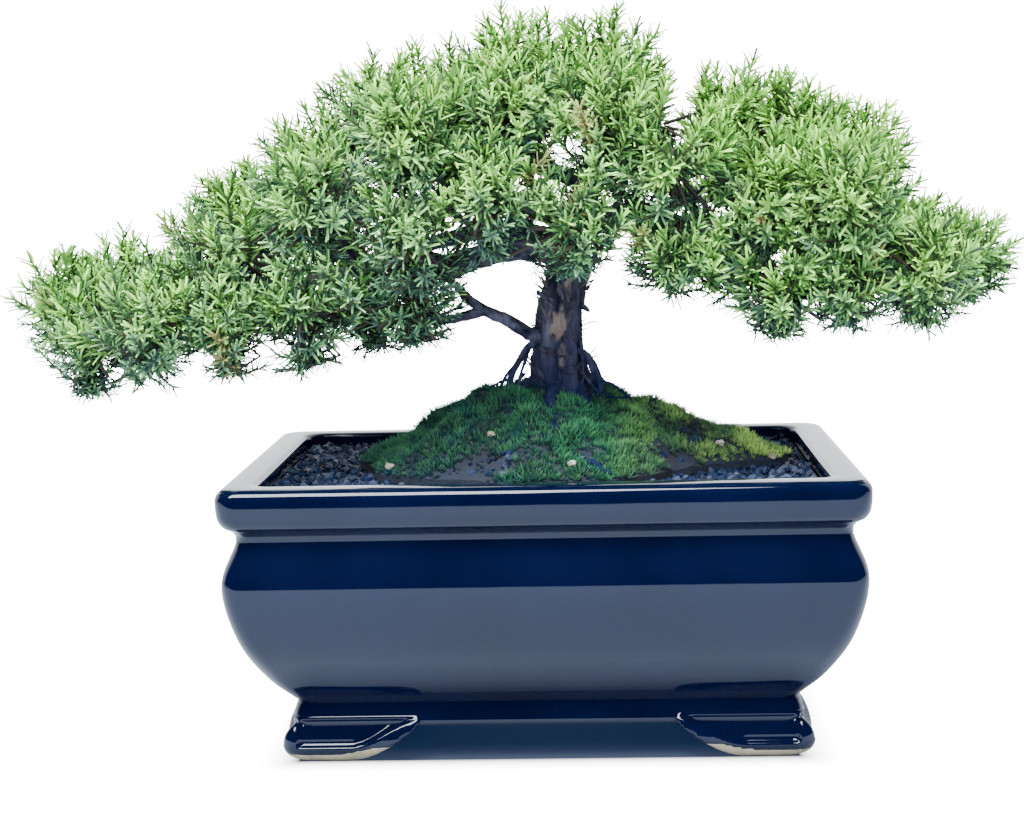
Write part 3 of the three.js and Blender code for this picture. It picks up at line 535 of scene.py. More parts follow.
def needle_material(settings):
    """Painted light and shade: blue-green low and deep in the crown, yellow-green where a shoot's painted
    light is high, with pale bands that are partly the needles' own and partly painted highlight, and painted
    shade at the needles' feet.
    """
    material, wiring, shader = new_material("juniper_needles")
    spot = object_coordinates(wiring)
    along, part, light, tint = (wiring.attribute(name) for name in ("along", "part", "light", "tint"))
    # Fresh growth towards the shoot tips, shown only where the shoot's painted light is high: partly the
    # needles' own colour, partly painted light
    fresh = wiring.times(wiring.span(along, 0.35, 1.0), wiring.span(light, 0.25, 0.85))
    fresh = wiring.math("ADD", fresh, wiring.span(tint, 0.0, 1.0, -0.22, 0.22), clamp=True)
    # Painted light and shade: the shaded and the sunlit needle colours, chosen by the shoot's painted light
    colour = wiring.mix(wiring.span(light, 0.05, 0.6), settings.shade_colour[:], settings.leaf_colour[:])
    patch = wiring.span(wiring.noise(spot, 22.0, detail=1.0), 0.4, 0.65, 0.0, 0.35)
    colour = wiring.mix(patch, colour, NEEDLE["bluer"])
    colour = wiring.mix(fresh, colour, settings.tip_colour[:])
    # Paler needle ends, stronger where the painted light is high: partly the needles' own colour, partly
    # painted highlight
    tip = wiring.times(wiring.span(part, 0.45, 1.0), wiring.span(light, 0.0, 1.0, 0.15, 0.5))
    colour = wiring.mix(tip, colour, NEEDLE["tip"])
    # Pale bands on the needles: their own pale bands, made stronger and brighter where the painted light is
    # high as painted highlights
    edge = wiring.times(wiring.attribute("band"), wiring.span(light, 0.15, 0.75, 0.15, 0.85))
    pale = wiring.mix(wiring.span(light, 0.3, 0.75), NEEDLE["shaded band"], NEEDLE["sunlit band"])
    colour = wiring.mix(edge, colour, pale)
    # Painted shade in the gaps: dark at each needle's foot, more so towards the shoot's base, and on a random
    # share of needles
    deep = wiring.times(wiring.span(part, 0.0, 0.75, 1.0, 0.0), wiring.span(along, 0.5, 1.0, 0.96, 0.7))
    deep = wiring.math("MAXIMUM", deep, wiring.span(wiring.attribute("own"), 0.1, 0.8, 0.97, 0.0))
    gap = wiring.mix(wiring.span(light, 0.3, 0.8), NEEDLE["shaded gap"], NEEDLE["sunlit gap"])
    colour = wiring.mix(deep, colour, gap)
    colour = wiring.mix(wiring.times(wiring.span(tint, 0.985, 0.99), 0.55), colour, NEEDLE["dry"])
    finish_shader(wiring, shader, colour, 0.5, specular=0.25)
    return material


def stem_material():
    material, wiring, shader = new_material("green_shoot_stems")
    mask, height = mottle(wiring, object_coordinates(wiring), 300.0, 1500.0)
    colour = wiring.mix(wiring.attribute("along"), NEEDLE["old stem"], NEEDLE["young stem"])
    colour = wiring.mix(mask, colour, NEEDLE["dark stem"])
    finish_shader(wiring, shader, colour, 0.7, wiring.bump(height, 0.3 * MM, 0.6))
    return material


def moss_material(settings, bright):
    """The moss blades, or the dark mat under them."""
    material, wiring, shader = new_material("moss_blades" if bright else "moss_mat")
    spot = object_coordinates(wiring)
    mask, height = mottle(wiring, spot, 60.0, 900.0, 0.62)
    if not bright:
        colour = wiring.mix(mask, MOSS["mat"], MOSS["foot"])
        finish_shader(wiring, shader, colour, 0.95, wiring.bump(height, 1.2 * MM))
        return material
    # Painted shade on the cushion's left slope: teal there, green in the middle and the bright moss colour on
    # the right
    across = wiring.split(spot)["X"]
    tip = wiring.mix(wiring.span(across, -0.03, 0.01), MOSS["left"], MOSS["middle"])
    tip = wiring.mix(wiring.span(across, 0.02, 0.075), tip, settings.moss_colour[:])
    tip = wiring.mix(wiring.span(mask, 0.2, 0.8, 0.85, 0.0), tip, MOSS["blotch"])
    tip = wiring.mix(wiring.span(wiring.attribute("tint"), 0.2, 1.0, 0.0, 0.45), tip, MOSS["fresh"])
    tip = wiring.mix(wiring.times(wiring.attribute("bare"), 0.9), tip, MOSS["bare"])
    colour = wiring.mix(wiring.span(wiring.attribute("part"), 0.0, 0.85), MOSS["foot"], tip)
    finish_shader(wiring, shader, colour, 0.6, specular=0.15)
    return material


def soil_material(settings):
    material, wiring, shader = new_material("damp_soil")
    mask, height = mottle(wiring, object_coordinates(wiring), 260.0, 1800.0, 0.7)
    colour = wiring.mix(mask, SOIL["dark"], settings.soil_colour[:])
    colour = wiring.mix(wiring.span(wiring.attribute("tint"), 0.8, 1.0, 0.0, 0.6), colour, SOIL["grey grain"])
    roughness = wiring.span(mask, 0.0, 1.0, 0.45, 0.8)
    finish_shader(wiring, shader, colour, roughness, wiring.bump(height, 0.8 * MM, 0.8), specular=0.15)
    return material


def mottled_material(name, dark, pale, scales, roughness, relief):
    """A plain finish; scales and contrast as for mottle, relief as millimetres and strength."""
    material, wiring, shader = new_material(name)
    mask, height = mottle(wiring, object_coordinates(wiring), *scales)
    depth, strength = relief
    finish_shader(wiring, shader, wiring.mix(mask, dark, pale), roughness,
                  wiring.bump(height, depth * MM, strength))
    return material


# Meshes and geometry trees

def add_object(name, data):
    made = bpy.data.objects.new(name, data)
    bpy.context.scene.collection.objects.link(made)
    return made


def store(mesh, label, values, domain="POINT"):
    mesh.attributes.new(label, "FLOAT", domain).data.foreach_set("value", values)


def mesh_object(name, vertices, edges=(), faces=(), attributes=None, material=None):
    mesh = bpy.data.meshes.new(name)
    if material:
        mesh.materials.append(material)
    mesh.from_pydata([tuple(vertex) for vertex in vertices], list(edges), list(faces))
    for label, values in (attributes or {}).items():
        store(mesh, label, values)
    mesh.update()
    return add_object(name, mesh)


def repaint(piece, material):
    piece.data.materials.clear()
    piece.data.materials.append(material)


def shade_smooth(mesh):
    mesh.polygons.foreach_set("use_smooth", [True] * len(mesh.polygons))


def join_objects(name, objects):
    """One object from several, with its place in its mesh."""
    with bpy.context.temp_override(active_object=objects[0], object=objects[0],
                                   selected_editable_objects=objects, selected_objects=objects):
        bpy.ops.object.join()
    objects[0].name = name
    objects[0].data.name = name
    return objects[0]


def new_tree(name, inputs):
    """A geometry node tree's wiring and the sockets that its inputs give: the kind of each by its label."""
    tree = bpy.data.node_groups.new(name, "GeometryNodeTree")
    for label, kind in {"Geometry": "Geometry", **inputs}.items():
        tree.interface.new_socket(label, in_out="INPUT", socket_type="NodeSocket" + kind)
    tree.interface.new_socket("Geometry", in_out="OUTPUT", socket_type="NodeSocketGeometry")
    wiring = Growing(tree)
    return wiring, wiring.add("NodeGroupInput")


def run_tree(guide, tree, values, name):
    """Puts the tree on the guide, and gives back its result as a plain mesh object."""
    modifier = guide.modifiers.new("Grow", "NODES")
    modifier.node_group = tree
    for item in tree.interface.items_tree:
        if item.item_type == "SOCKET" and item.in_out == "INPUT" and item.name in values:
            modifier[item.identifier] = values[item.name]
    depsgraph = bpy.context.evaluated_depsgraph_get()
    result = guide.evaluated_get(depsgraph)
    mesh = bpy.data.meshes.new_from_object(result, preserve_all_data_layers=True, depsgraph=depsgraph)
    guide.modifiers.remove(modifier)
    bpy.data.objects.remove(guide)
    mesh.name = name
    if not mesh.polygons:
        raise RuntimeError(f"{name} came out empty")
    return add_object(name, mesh)


def finish_piece(piece, nodes=()):
    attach(piece, "root")
    if nodes:
        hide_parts(*nodes)


def polyline_guide(name, lines):
    """A guide of open lines: each is a list of points and a dictionary of values for each point."""
    vertices = []
    edges = []
    attributes = {}
    for points, values in lines:
        first = len(vertices)
        vertices.extend(points)
        edges.extend((first + i, first + i + 1) for i in range(len(points) - 1))
        for label, numbers in values.items():
            attributes.setdefault(label, []).extend(numbers)
    return mesh_object(name, vertices, edges, attributes=attributes)


def spread(index, step):
    return (0.5 + index * step) % 1


# Wood

def catmull(points, steps):
    """Points along a smooth curve through the given ones, steps to each span."""
    padded = [points[0] * 2 - points[1], *points, points[-1] * 2 - points[-2]]
    line = []
    for i in range(1, len(padded) - 2):
        a, b, c, d = padded[i - 1:i + 3]
        for j in range(steps):
            t = j / steps
            line.append(0.5 * (2 * b + (c - a) * t + (2 * a - 5 * b + 4 * c - d) * t * t
                               + (3 * b - a - 3 * c + d) * t ** 3))
    return [*line, points[-1]]


def tapered_line(controls, start_radius, end_radius):
    points = [place(*control) for control in controls]
    last = len(points) - 1
    radii = [(start_radius + (end_radius - start_radius) * i / last) * MM for i in range(last + 1)]
    return points, {"width": radii}


def moss_reach(angle):
    spot = (angle / math.tau) % 1 * len(MOSS_REACH)
    index = int(spot)
    blend = 0.5 - 0.5 * math.cos((spot - index) * math.pi)
    first = MOSS_REACH[index % len(MOSS_REACH)]
    second = MOSS_REACH[(index + 1) % len(MOSS_REACH)]
    return first + (second - first) * blend + 1.6 * math.sin(9 * angle) + 1.2 * math.sin(14 * angle + 2)


def moss_point(angle, part):
    """The top of the moss, in millimetres, with part 0 at the trunk and 1 at the edge."""
    x = MOSS_CENTRE[0] + part * moss_reach(angle) * math.cos(angle)
    y = MOSS_CENTRE[1] + part * moss_reach(angle) * math.sin(angle)
    slope = MOSS_HEIGHT * (1 - part ** 1.3)
    across = ((x - MOSS_SHOULDER["x"]) / MOSS_SHOULDER["width"]) ** 2 + (y / MOSS_SHOULDER["depth"]) ** 2
    shoulder = MOSS_SHOULDER["height"] * math.exp(-across)
    along_x = math.sin(x / 3.4 + 1.7 * math.sin(y / 9))
    along_y = math.sin(y / 3.7 + 1.3 * math.sin(x / 8))
    clumps = MOSS_CLUMP_HEIGHT * along_x * along_y * min(1, 4 * (1 - part))
    return x, y, SOIL_HEIGHT + GAP + MOSS_EDGE_HEIGHT + slope + shoulder + clumps


def moss_height_at(x, y):
    angle = math.atan2(y - MOSS_CENTRE[1], x - MOSS_CENTRE[0])
    part = math.hypot(x - MOSS_CENTRE[0], y - MOSS_CENTRE[1]) / moss_reach(angle)
    return moss_point(angle, min(part, 1))[2]


def surface_root(index):
    angle = (index + 0.35 * spread(index, PLASTIC_STEP_A)) / ROOT_COUNT * math.tau
    reach = ROOT_REACH * (0.8 + 0.4 * spread(index, PLASTIC_STEP_B))
    controls = []
    for i, distance in enumerate((4, 0.48 * reach, 0.72 * reach, reach)):
        bend = angle + 0.12 * i * math.sin(5 * index)
        x = TRUNK[2][0][0] + distance * math.cos(bend)
        y = distance * math.sin(bend)
        controls.append((x, y, moss_height_at(x, y) + ROOT_RISES[i]))
    return controls, *ROOT_RADII


LIMB_LINES = [catmull([place(*control) for control in limb[0]], 4) for limb in LIMBS]


def twig_line(hub):
    """The branchlet from the nearest limb to a spray: where it starts, how it bends and its end."""
    best = None
    for line in LIMB_LINES:
        for i in range(2, len(line) - 2):
            distance = (line[i] - hub).length
            if best is None or distance < best[0]:
                best = (distance, line[max(i - 3, 2)], (line[i + 1] - line[i - 1]).normalized())
    start, tangent = best[1:]
    bend = start.lerp(hub, 0.5) + tangent * 0.16 * (start - hub).length
    return start, bend, hub


def limb_tree():
    wiring, given = new_tree("Limbs with bark", {
        "Step": "Float", "Sides": "Int", "Bark Depth": "Float", "Grain": "Float", "Stretch": "Vector",
        "Material": "Material"})
    curve = wiring.add("GeometryNodeMeshToCurve", {"Mesh": given["Geometry"]})[0]
    smooth = wiring.add("GeometryNodeCurveSplineType", {"Curve": curve}, spline_type="CATMULL_ROM")[0]
    tube = wiring.tube(wiring.stepped(smooth, given["Step"]), given["Sides"])
    stretched = wiring.vector("MULTIPLY", wiring.add("GeometryNodeInputPosition")[0], given["Stretch"])
    ridged = wiring.store(tube, "ridge", wiring.noise(stretched, given["Grain"], roughness=0.6))
    lift = wiring.times(wiring.math("SUBTRACT", wiring.named("ridge"), 0.5), given["Bark Depth"])
    normal = wiring.add("GeometryNodeInputNormal")[0]
    inputs = {0: normal, "Scale": wiring.times(lift, 3.0)}
    offset = wiring.add("ShaderNodeVectorMath", inputs, operation="SCALE")[0]
    moved = wiring.add("GeometryNodeSetPosition", {"Geometry": ridged, "Offset": offset})[0]
    shaded = wiring.add("GeometryNodeSetShadeSmooth", {"Geometry": moved, "Shade Smooth": True})[0]
    return wiring.finish(wiring.paint(shaded, given["Material"]))


def flake_tree():
    wiring, given = new_tree("Loose bark flakes", {
        "Density": "Float", "Flake": "Object", "Seed": "Int", "Material": "Material"})
    points = wiring.add("GeometryNodeDistributePointsOnFaces", {
        "Mesh": given["Geometry"], "Density": given["Density"], "Seed": given["Seed"]})
    upright = wiring.aligned(UP, "Z", wiring.aligned(points["Normal"], "X"), pivot_axis="X")
    lean = wiring.draw((-0.5, -0.35, -0.5), (0.6, 1.0, 0.6), given["Seed"])
    size = wiring.draw((0.5, 0.5, 0.35), (1.2, 1.3, 1.6), 0)
    return wiring.finish(wiring.scatter(
        points[0], wiring.shape(given["Flake"]), wiring.turned(lean, upright), size, given["Material"]))


def bark_flake(material):
    """A curled sliver of bark, hinged at its lower end and lifting outwards along +X."""
    rows = ((0.0, 0.55, -0.2), (2.2, 0.75, 0.25), (4.4, 0.15, 1.3))
    vertices = []
    for z, half, x in rows:
        for side, thick in ((-1, 0), (1, 0), (0, -0.4)):
            vertices.append(Vector(((x + thick) * MM, side * half * MM, z * MM)))
    faces = [(2, 1, 0), (6, 7, 8)]
    for row in (0, 3):
        for i in range(3):
            after = (i + 1) % 3
            faces.append((row + i, row + after, row + 3 + after, row + 3 + i))
    values = {"ridge": [0.5] * len(vertices), "peeled": [0.25] * len(vertices)}
    return mesh_object("bark_flake", vertices, faces=faces, attributes=values, material=material)


PER_SQUARE_CM = 1e4
# How far the wood lies under the bark where it has peeled, in millimetres
PEEL_DEPTH = 0.7
# Peeled places on the trunk: middle and half sizes across and up, in millimetres
PEELED_PLACES = [
    ((4.6, -8, 140), 2.6, 4.6), ((6.6, -8, 130.4), 0.9, 3.6), ((9.5, -6, 155), 1.3, 4.0),
    ((-9, 9, 124), 3.0, 9.0), ((14, 8, 136), 2.2, 8.0),
]


def peel_bark(mesh):
    """Marks where the bark has come off the trunk, with ragged edges, and lowers it there."""
    values = []
    for vertex in mesh.vertices:
        x, y, z = (vertex.co - MIDDLE).x / MM, (vertex.co - MIDDLE).y / MM, vertex.co.z / MM
        ragged = 0.9 * noise.noise(Vector((x, y, z * 0.5)) / 2.1)
        peel = 0.0
        for middle, half_across, half_up in PEELED_PLACES:
            away = math.hypot((x - middle[0]) / half_across, (z - middle[2]) / half_up) + ragged
            if y * middle[1] > 0:
                peel = max(peel, min(1.0, max(0.0, (1.25 - away) / 0.3)))
        values.append(peel)
    store(mesh, "peeled", values)
    normals = [vertex.normal.copy() for vertex in mesh.vertices]
    for vertex, normal, peel in zip(mesh.vertices, normals, values):
        vertex.co -= normal * PEEL_DEPTH * MM * peel


def grow_wood(settings):
    bark = bark_material(settings)
    tree = limb_tree()

    def grown(name, lines, step, sides, depth, grain, stretch=(1, 1, 0.3)):
        """Limbs with bark along the lines; step and depth in millimetres."""
        return run_tree(polyline_guide(f"{name}_guide", lines), tree, {
            "Step": step * MM, "Sides": sides, "Bark Depth": depth * MM, "Grain": grain, "Stretch": stretch,
            "Material": bark}, name)

    trunk_points = [place(*control) for control, radius in TRUNK]
    trunk_line = (trunk_points, {"width": [radius * MM for control, radius in TRUNK]})
    trunk = grown("trunk", [trunk_line], step=0.9, sides=72, depth=settings.bark_depth / MM, grain=170.0,
                  stretch=(1, 1, 0.2))
    peel_bark(trunk.data)
    shape = bark_flake(bark)
    flakes = run_tree(add_object("trunk_skin", trunk.data.copy()), flake_tree(), {
        "Density": settings.flakes * PER_SQUARE_CM, "Flake": shape, "Seed": SEEDS["flakes"],
        "Material": bark}, "flakes")
    bpy.data.objects.remove(shape)
    limbs = grown("limbs", [tapered_line(*limb) for limb in LIMBS], step=1.5, sides=14, depth=0.8,
                  grain=300.0, stretch=(0.5, 1, 1))
    lines = [surface_root(index) for index in range(ROOT_COUNT)] + ARCHED_ROOTS + ROOTLETS + STUBS
    roots = grown("roots", [tapered_line(*line) for line in lines], step=1.2, sides=9, depth=0.45,
                  grain=420.0, stretch=(1, 1, 0.6))
    lines = []
    for hubs in SPRAYS.values():
        for hub in hubs:
            start, bend, end = twig_line(place(*hub[:3]))
            middle = start * 0.25 + bend * 0.5 + end * 0.25
            lines.append(([start, middle, end], {"width": [radius * MM for radius in BRANCHLET_RADII]}))
    twigs = grown("twigs", lines, step=3, sides=6, depth=0.4, grain=420.0)
    finish_piece(join_objects("gnarled_wood", [trunk, flakes, limbs, roots, twigs]), ["wood"])
    low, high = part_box("loose_twig")
    low, high = (low - place(0, 0, 0)) / MM, (high - place(0, 0, 0)) / MM
    controls = [(low.x + 0.8, high.y - 0.9, high.z - 1.1), (low.x + 3, high.y - 1.7, high.z - 1.5),
                (high.x - 3, low.y + 1.6, low.z + 1.5), (high.x - 0.6, low.y + 0.8, low.z + 0.9)]
    line = tapered_line(controls, start_radius=1.2, end_radius=0.8)
    stick = grown("fallen_twig", [line], step=0.8, sides=8, depth=0.3, grain=500.0)
    finish_piece(stick, ["loose_twig"])


# Foliage

# How far needles stand off the stem at a shoot's foot and at its tip
OPEN_ANGLE = math.radians(60)
CLOSED_ANGLE = math.radians(34)
# Turn from one whorl to the next, and the seed of each needle's own depth of shade
WHORL_TURN = math.radians(60) + 0.35
OWN_SEED = 77


def needle_shape(material):
    """One needle of unit length and width: keeled outside, blunt and bent inwards at its tip."""
    vertices = [Vector((0.3, 0, 0)), Vector((-0.25, 0.46, 0)), Vector((-0.25, -0.46, 0)),
                Vector((0.02, 0, 1)), Vector((-0.32, 0.34, 0.93)), Vector((-0.32, -0.34, 0.93))]
    faces = [(0, 2, 1), (3, 4, 5), (0, 1, 4, 3), (1, 2, 5, 4), (2, 0, 3, 5)]
    values = {"part": [0, 0, 0, 1, 1, 1]}
    needle = mesh_object("needle", vertices, faces=faces, attributes=values, material=material)
    store(needle.data, "band", [0, 0.6, 1, 0.5, 0], "FACE")
    return needle


def shoot_tree():
    """Stems along the guide's lines, with whorls of three needles where they are leafy."""
    wiring, given = new_tree("Juniper shoots", {
        "Spacing": "Float", "Needle Length": "Float", "Needle Width": "Float", "Open Angle": "Float",
        "Closed Angle": "Float", "Seed": "Int", "Needle": "Object", "Needle Material": "Material",
        "Stem Material": "Material"})
    curve = wiring.add("GeometryNodeMeshToCurve", {"Mesh": given["Geometry"]})[0]
    stems = wiring.paint(wiring.tube(curve, 3), given["Stem Material"])
    points = wiring.add("GeometryNodeCurveToPoints", {"Curve": wiring.stepped(curve, given["Spacing"])},
                        mode="EVALUATED")
    leafy = wiring.named("along")
    inputs = {"Geometry": points["Points"], "Selection": wiring.compare(leafy, "LESS_EQUAL", 0.0)}
    whorls = wiring.add("GeometryNodeDeleteGeometry", inputs, domain="POINT")[0]
    whorls = wiring.store(whorls, "turned", points["Rotation"], "QUATERNION")
    whorls = wiring.store(whorls, "spin", wiring.times(wiring.add("GeometryNodeInputIndex")[0], WHORL_TURN))
    tripled = wiring.add("GeometryNodeDuplicateElements", {"Geometry": whorls, "Amount": 3}, domain="POINT")
    third = wiring.times(tripled["Duplicate Index"], math.tau / 3)
    jitter = wiring.draw(-1.0, 1.0, given["Seed"])
    angle = wiring.blend(wiring.math("POWER", leafy, 2.6), given["Open Angle"], given["Closed Angle"])
    angle = wiring.math("ADD", angle, wiring.times(jitter, 0.2))
    around = wiring.math("ADD", wiring.named("spin"), third)
    around = wiring.math("ADD", around, wiring.times(jitter, 0.3))
    euler = wiring.add("ShaderNodeCombineXYZ", {"Y": angle, "Z": around})[0]
    rotation = wiring.turned(euler, wiring.named("turned", "QUATERNION"))
    spots = wiring.store(tripled["Geometry"], "own", wiring.draw(0.0, 1.0, OWN_SEED))
    vigour = wiring.span(wiring.named("light"), 0.1, 0.7, 0.66, 1.0)
    length = wiring.times(given["Needle Length"], wiring.span(leafy, 0.0, 1.0, 1.0, 0.82))
    length = wiring.times(wiring.times(length, wiring.draw(0.8, 1.15, given["Seed"])), vigour)
    width = wiring.times(given["Needle Width"], vigour)
    scale = wiring.add("ShaderNodeCombineXYZ", {"X": width, "Y": width, "Z": length})[0]
    needles = wiring.scatter(spots, wiring.shape(given["Needle"]), rotation, scale, given["Needle Material"])
    return wiring.finish(needles, stems)


def sphere_direction(index, count):
    """Evenly spread directions, turning round the vertical by the golden angle."""
    z = 1 - 2 * (index + 0.5) / count
    level = math.sqrt(1 - z * z)
    angle = index * math.tau * GOLDEN_STEP
    return Vector((level * math.cos(angle), level * math.sin(angle), z))


def room_towards(direction, hub, reach, others):
    """How far a shoot can grow that way before it is well inside the next spray."""
    room = reach
    for other, other_reach in others:
        apart = other - hub
        limit = apart.length * reach / (reach + other_reach) + INTERMINGLING
        facing = direction.dot(apart.normalized())
        if facing > 0.05:
            room = min(room, limit / facing)
    return room


def buried(spot, others):
    """How deep a place lies inside the neighbouring sprays, from 0 outside them to 1 at a hub."""
    return max((1 - (spot - other).length / reach for other, reach in others), default=0.0)


# How far shoots of neighbouring sprays reach past the middle between them
INTERMINGLING = 5 * MM

# Which part of a spray's shoots fill the valleys towards its neighbours
VALLEY_SHARE = 0.3

# The narrow gully between the crown's two lobes: its ends seen from the front, and its half width
GULLY = ((51, 226), (45, 201), 6.5)


def in_gully(spot):
    """Whether a place lies in the gully, which narrows downwards."""
    (top_x, top_z), (low_x, low_z), width = GULLY
    x, z = (spot.x - MIDDLE.x) / MM, spot.z / MM
    part = min(1.0, max(0.0, (top_z - z) / (top_z - low_z)))
    return z > low_z - 4 and abs(x - top_x - part * (low_x - top_x)) < width * (1 - 0.4 * part)


def wander(direction, amount, draw):
    """The direction, turned a little at random."""
    return (direction + Vector([draw.uniform(-amount, amount) for _ in range(3)])).normalized()


def shoot_targets(hub, reach, others, count, draw):
    """Where the tips of a spray's shoots end: on its own outline, and over the valleys beside it."""
    targets = []
    for index in range(2 * count):
        direction = wander(sphere_direction(index, 2 * count), TIP_WANDER, draw)
        room = room_towards(direction, hub, reach, others)
        tip = hub + direction * room * draw.uniform(0.8, 1.0)
        depth = max(0.0, buried(tip, others))
        weight = draw.random() - 1.6 * depth + (0.25 if direction.z > -0.2 else 0.0)
        targets.append((weight, tip, direction, depth))
    targets.sort(key=lambda target: -target[0])
    near = [other for other in others if 0.9 * reach < (other[0] - hub).length < 2.5 * reach]
    valley_count = round(VALLEY_SHARE * count) if near else 0
    valleys = []
    for index in range(3 * valley_count):
        other, other_reach = near[index % len(near)]
        part = draw.uniform(0.22, 0.52)
        middle = hub.lerp(other, part)
        direction = sphere_direction(draw.randrange(64), 64)
        along = (other - hub).normalized()
        direction = (direction - along * direction.dot(along)).normalized()
        if direction.z < -0.3:
            direction.z = -direction.z
        radius = reach + (other_reach - reach) * part
        tip = middle + direction * radius * draw.uniform(0.72, 0.9)
        rest = [each for each in others if each[0] != other]
        depth = max(0.0, buried(tip, rest))
        valleys.append((draw.random() - 2 * depth + 0.3 * direction.z, tip, direction, depth))
    valleys.sort(key=lambda target: -target[0])
    return [target[1:] for target in targets[:count - valley_count] + valleys[:valley_count]]


# How far a tip's and a shoot's direction wander
TIP_WANDER = 0.12
GROWTH_WANDER = 0.25
# A shoot in millimetres: its shortest and longest leafy part, how far needles reach past its stem, its radii
LEAFY_LENGTHS = (12, 21)
TIP_NEEDLES = 3.5
STEM_RADII = (0.8, 0.75, 0.6, 0.5, 0.35)
# Places along the leafy part from 0 to 1, and what stands for the bare stem's start
STEM_STEPS = (0.34, 0.67, 1.0)
BARE_END = -0.6
# The painted light of a shoot, from 0 in painted shade to 1 in painted sunlight: what its height, slope and
# side add, and its back and depth take off
PAINTED_LIGHT = {"least": 0.16, "height": 0.38, "slope": 0.3, "right": 0.2, "back": 0.2, "depth": 1.1, "spread": 0.14}


def spray_lines(hub, reach, others, count, crown_low, crown_high, draw):
    """The shoots of one spray: their bare stems fork from the hub and their leafy ends point up and out."""
    lines = []
    for tip, direction, depth in shoot_targets(hub, reach, others, count, draw):
        level = Vector((direction.x, direction.y, 0))
        growth = (level * 1.2 + UP * (0.8 * direction.z + 0.38)).normalized()
        growth = wander(growth, GROWTH_WANDER, draw)
        if depth < 0.05 and direction.z > -0.3:
            tip = tip + growth * draw.uniform(0.0, TIP_NEEDLES) * MM
        tip -= growth * TIP_NEEDLES * MM
        length = draw.uniform(*LEAFY_LENGTHS) * MM
        base = tip - growth * length
        if in_gully(tip) or in_gully(base.lerp(tip, 0.6)):
            continue
        bend = base.lerp(tip, 0.5) - UP * 0.1 * length
        start = hub.lerp(base, 0.12)
        points = [start, base]
        points += [base * (1 - t) ** 2 + bend * 2 * t * (1 - t) + tip * t * t for t in STEM_STEPS]
        # Painted light: shoots high in the crown, facing up, to the right and at the front are coloured
        # lighter, those facing back and buried in other sprays darker
        high = (tip.z - crown_low) / (crown_high - crown_low)
        right = smoothstep(10, 50, (tip.x - MIDDLE.x) / MM)
        light = PAINTED_LIGHT["least"] + PAINTED_LIGHT["height"] * high + PAINTED_LIGHT["slope"] * direction.z
        light += PAINTED_LIGHT["right"] * right - PAINTED_LIGHT["back"] * min(direction.y, 0.3) - PAINTED_LIGHT["depth"] * depth
        light = min(1.0, max(0.0, light + draw.uniform(-PAINTED_LIGHT["spread"], PAINTED_LIGHT["spread"])))
        tint = draw.random()
        lines.append((points, {
            "width": [radius * MM for radius in STEM_RADII],
            "along": [BARE_END, 0.0, *STEM_STEPS],
            "light": [light] * len(points),
            "tint": [tint] * len(points),
        }))
    return lines


# How far to each side of a spray the crown's height is taken, in millimetres
CROWN_WINDOW = 40


def crown_span(x, hubs):
    """The lowest and highest foliage near this place across the crown, in metres."""
    near = [hub for hub in hubs if abs(hub[0] - x) < CROWN_WINDOW]
    low = min(hub[2] - hub[3] for hub in near) * MM
    high = max(hub[2] + hub[3] for hub in near) * MM
    return low, high


def grow_foliage(settings):
    tree = shoot_tree()
    needles = needle_material(settings)
    stems = stem_material()
    shape = needle_shape(needles)
    hubs = [hub for row in SPRAYS.values() for hub in row]
    draw = random.Random(settings.seed)
    for row, members in SPRAYS.items():
        for number, spray in enumerate(members, start=1):
            x, y, z, reach = spray
            hub = place(x, y, z)
            others = [(place(*other[:3]), other[3] * MM) for other in hubs if other != spray]
            others = [other for other in others if (other[0] - hub).length < 3 * reach * MM]
            low, high = crown_span(x, hubs)
            lines = spray_lines(hub, reach * MM, others, settings.shoots, low, high, draw)
            name = f"juniper_{row}_{number:02d}"
            piece = run_tree(polyline_guide("shoot_guide", lines), tree, {
                "Spacing": settings.whorl_spacing, "Needle Length": settings.needle_length,
                "Needle Width": settings.needle_width, "Open Angle": OPEN_ANGLE, "Closed Angle": CLOSED_ANGLE,
                "Seed": number, "Needle": shape, "Needle Material": needles, "Stem Material": stems}, name)
            finish_piece(piece, [f"foliage_{row}_{number:02d}"])
    bpy.data.objects.remove(shape)


# Pot

def pot_ring(inset, height, corner_steps=8, side_steps=8):
    """A rounded rectangle, inset from the rim's outline, counterclockwise seen from above."""
    half_width = POT_WIDTH / 2 - inset - CORNER_RADIUS
    half_depth = POT_DEPTH / 2 - inset - CORNER_RADIUS
    ring = []
    for quarter, (sign_x, sign_y) in enumerate(((1, 1), (-1, 1), (-1, -1), (1, -1))):
        for i in range(corner_steps + 1):
            angle = (quarter + i / corner_steps) * math.pi / 2
            ring.append(place(sign_x * half_width + CORNER_RADIUS * math.cos(angle),
                              sign_y * half_depth + CORNER_RADIUS * math.sin(angle), height))
        next_x, next_y = ((-1, 1), (-1, -1), (1, -1), (1, 1))[quarter]
        turn = (quarter + 1) * math.pi / 2
        start = ring[-1]
        end = place(next_x * half_width + CORNER_RADIUS * math.cos(turn),
                    next_y * half_depth + CORNER_RADIUS * math.sin(turn), height)
        ring.extend(start.lerp(end, i / side_steps) for i in range(1, side_steps))
    return ring


def arc_outline(centre_inset, centre_height, radius, from_angle, to_angle, steps=6):
    points = []
    for i in range(steps + 1):
        angle = math.radians(from_angle + (to_angle - from_angle) * i / steps)
        points.append((centre_inset + radius * math.cos(angle), centre_height + radius * math.sin(angle)))
    return points


def smooth_outline(points, steps=4):
    """An outline through the points, which are pairs of millimetres."""
    return [(point.x, point.y) for point in catmull([Vector((*point, 0)) for point in points], steps)]


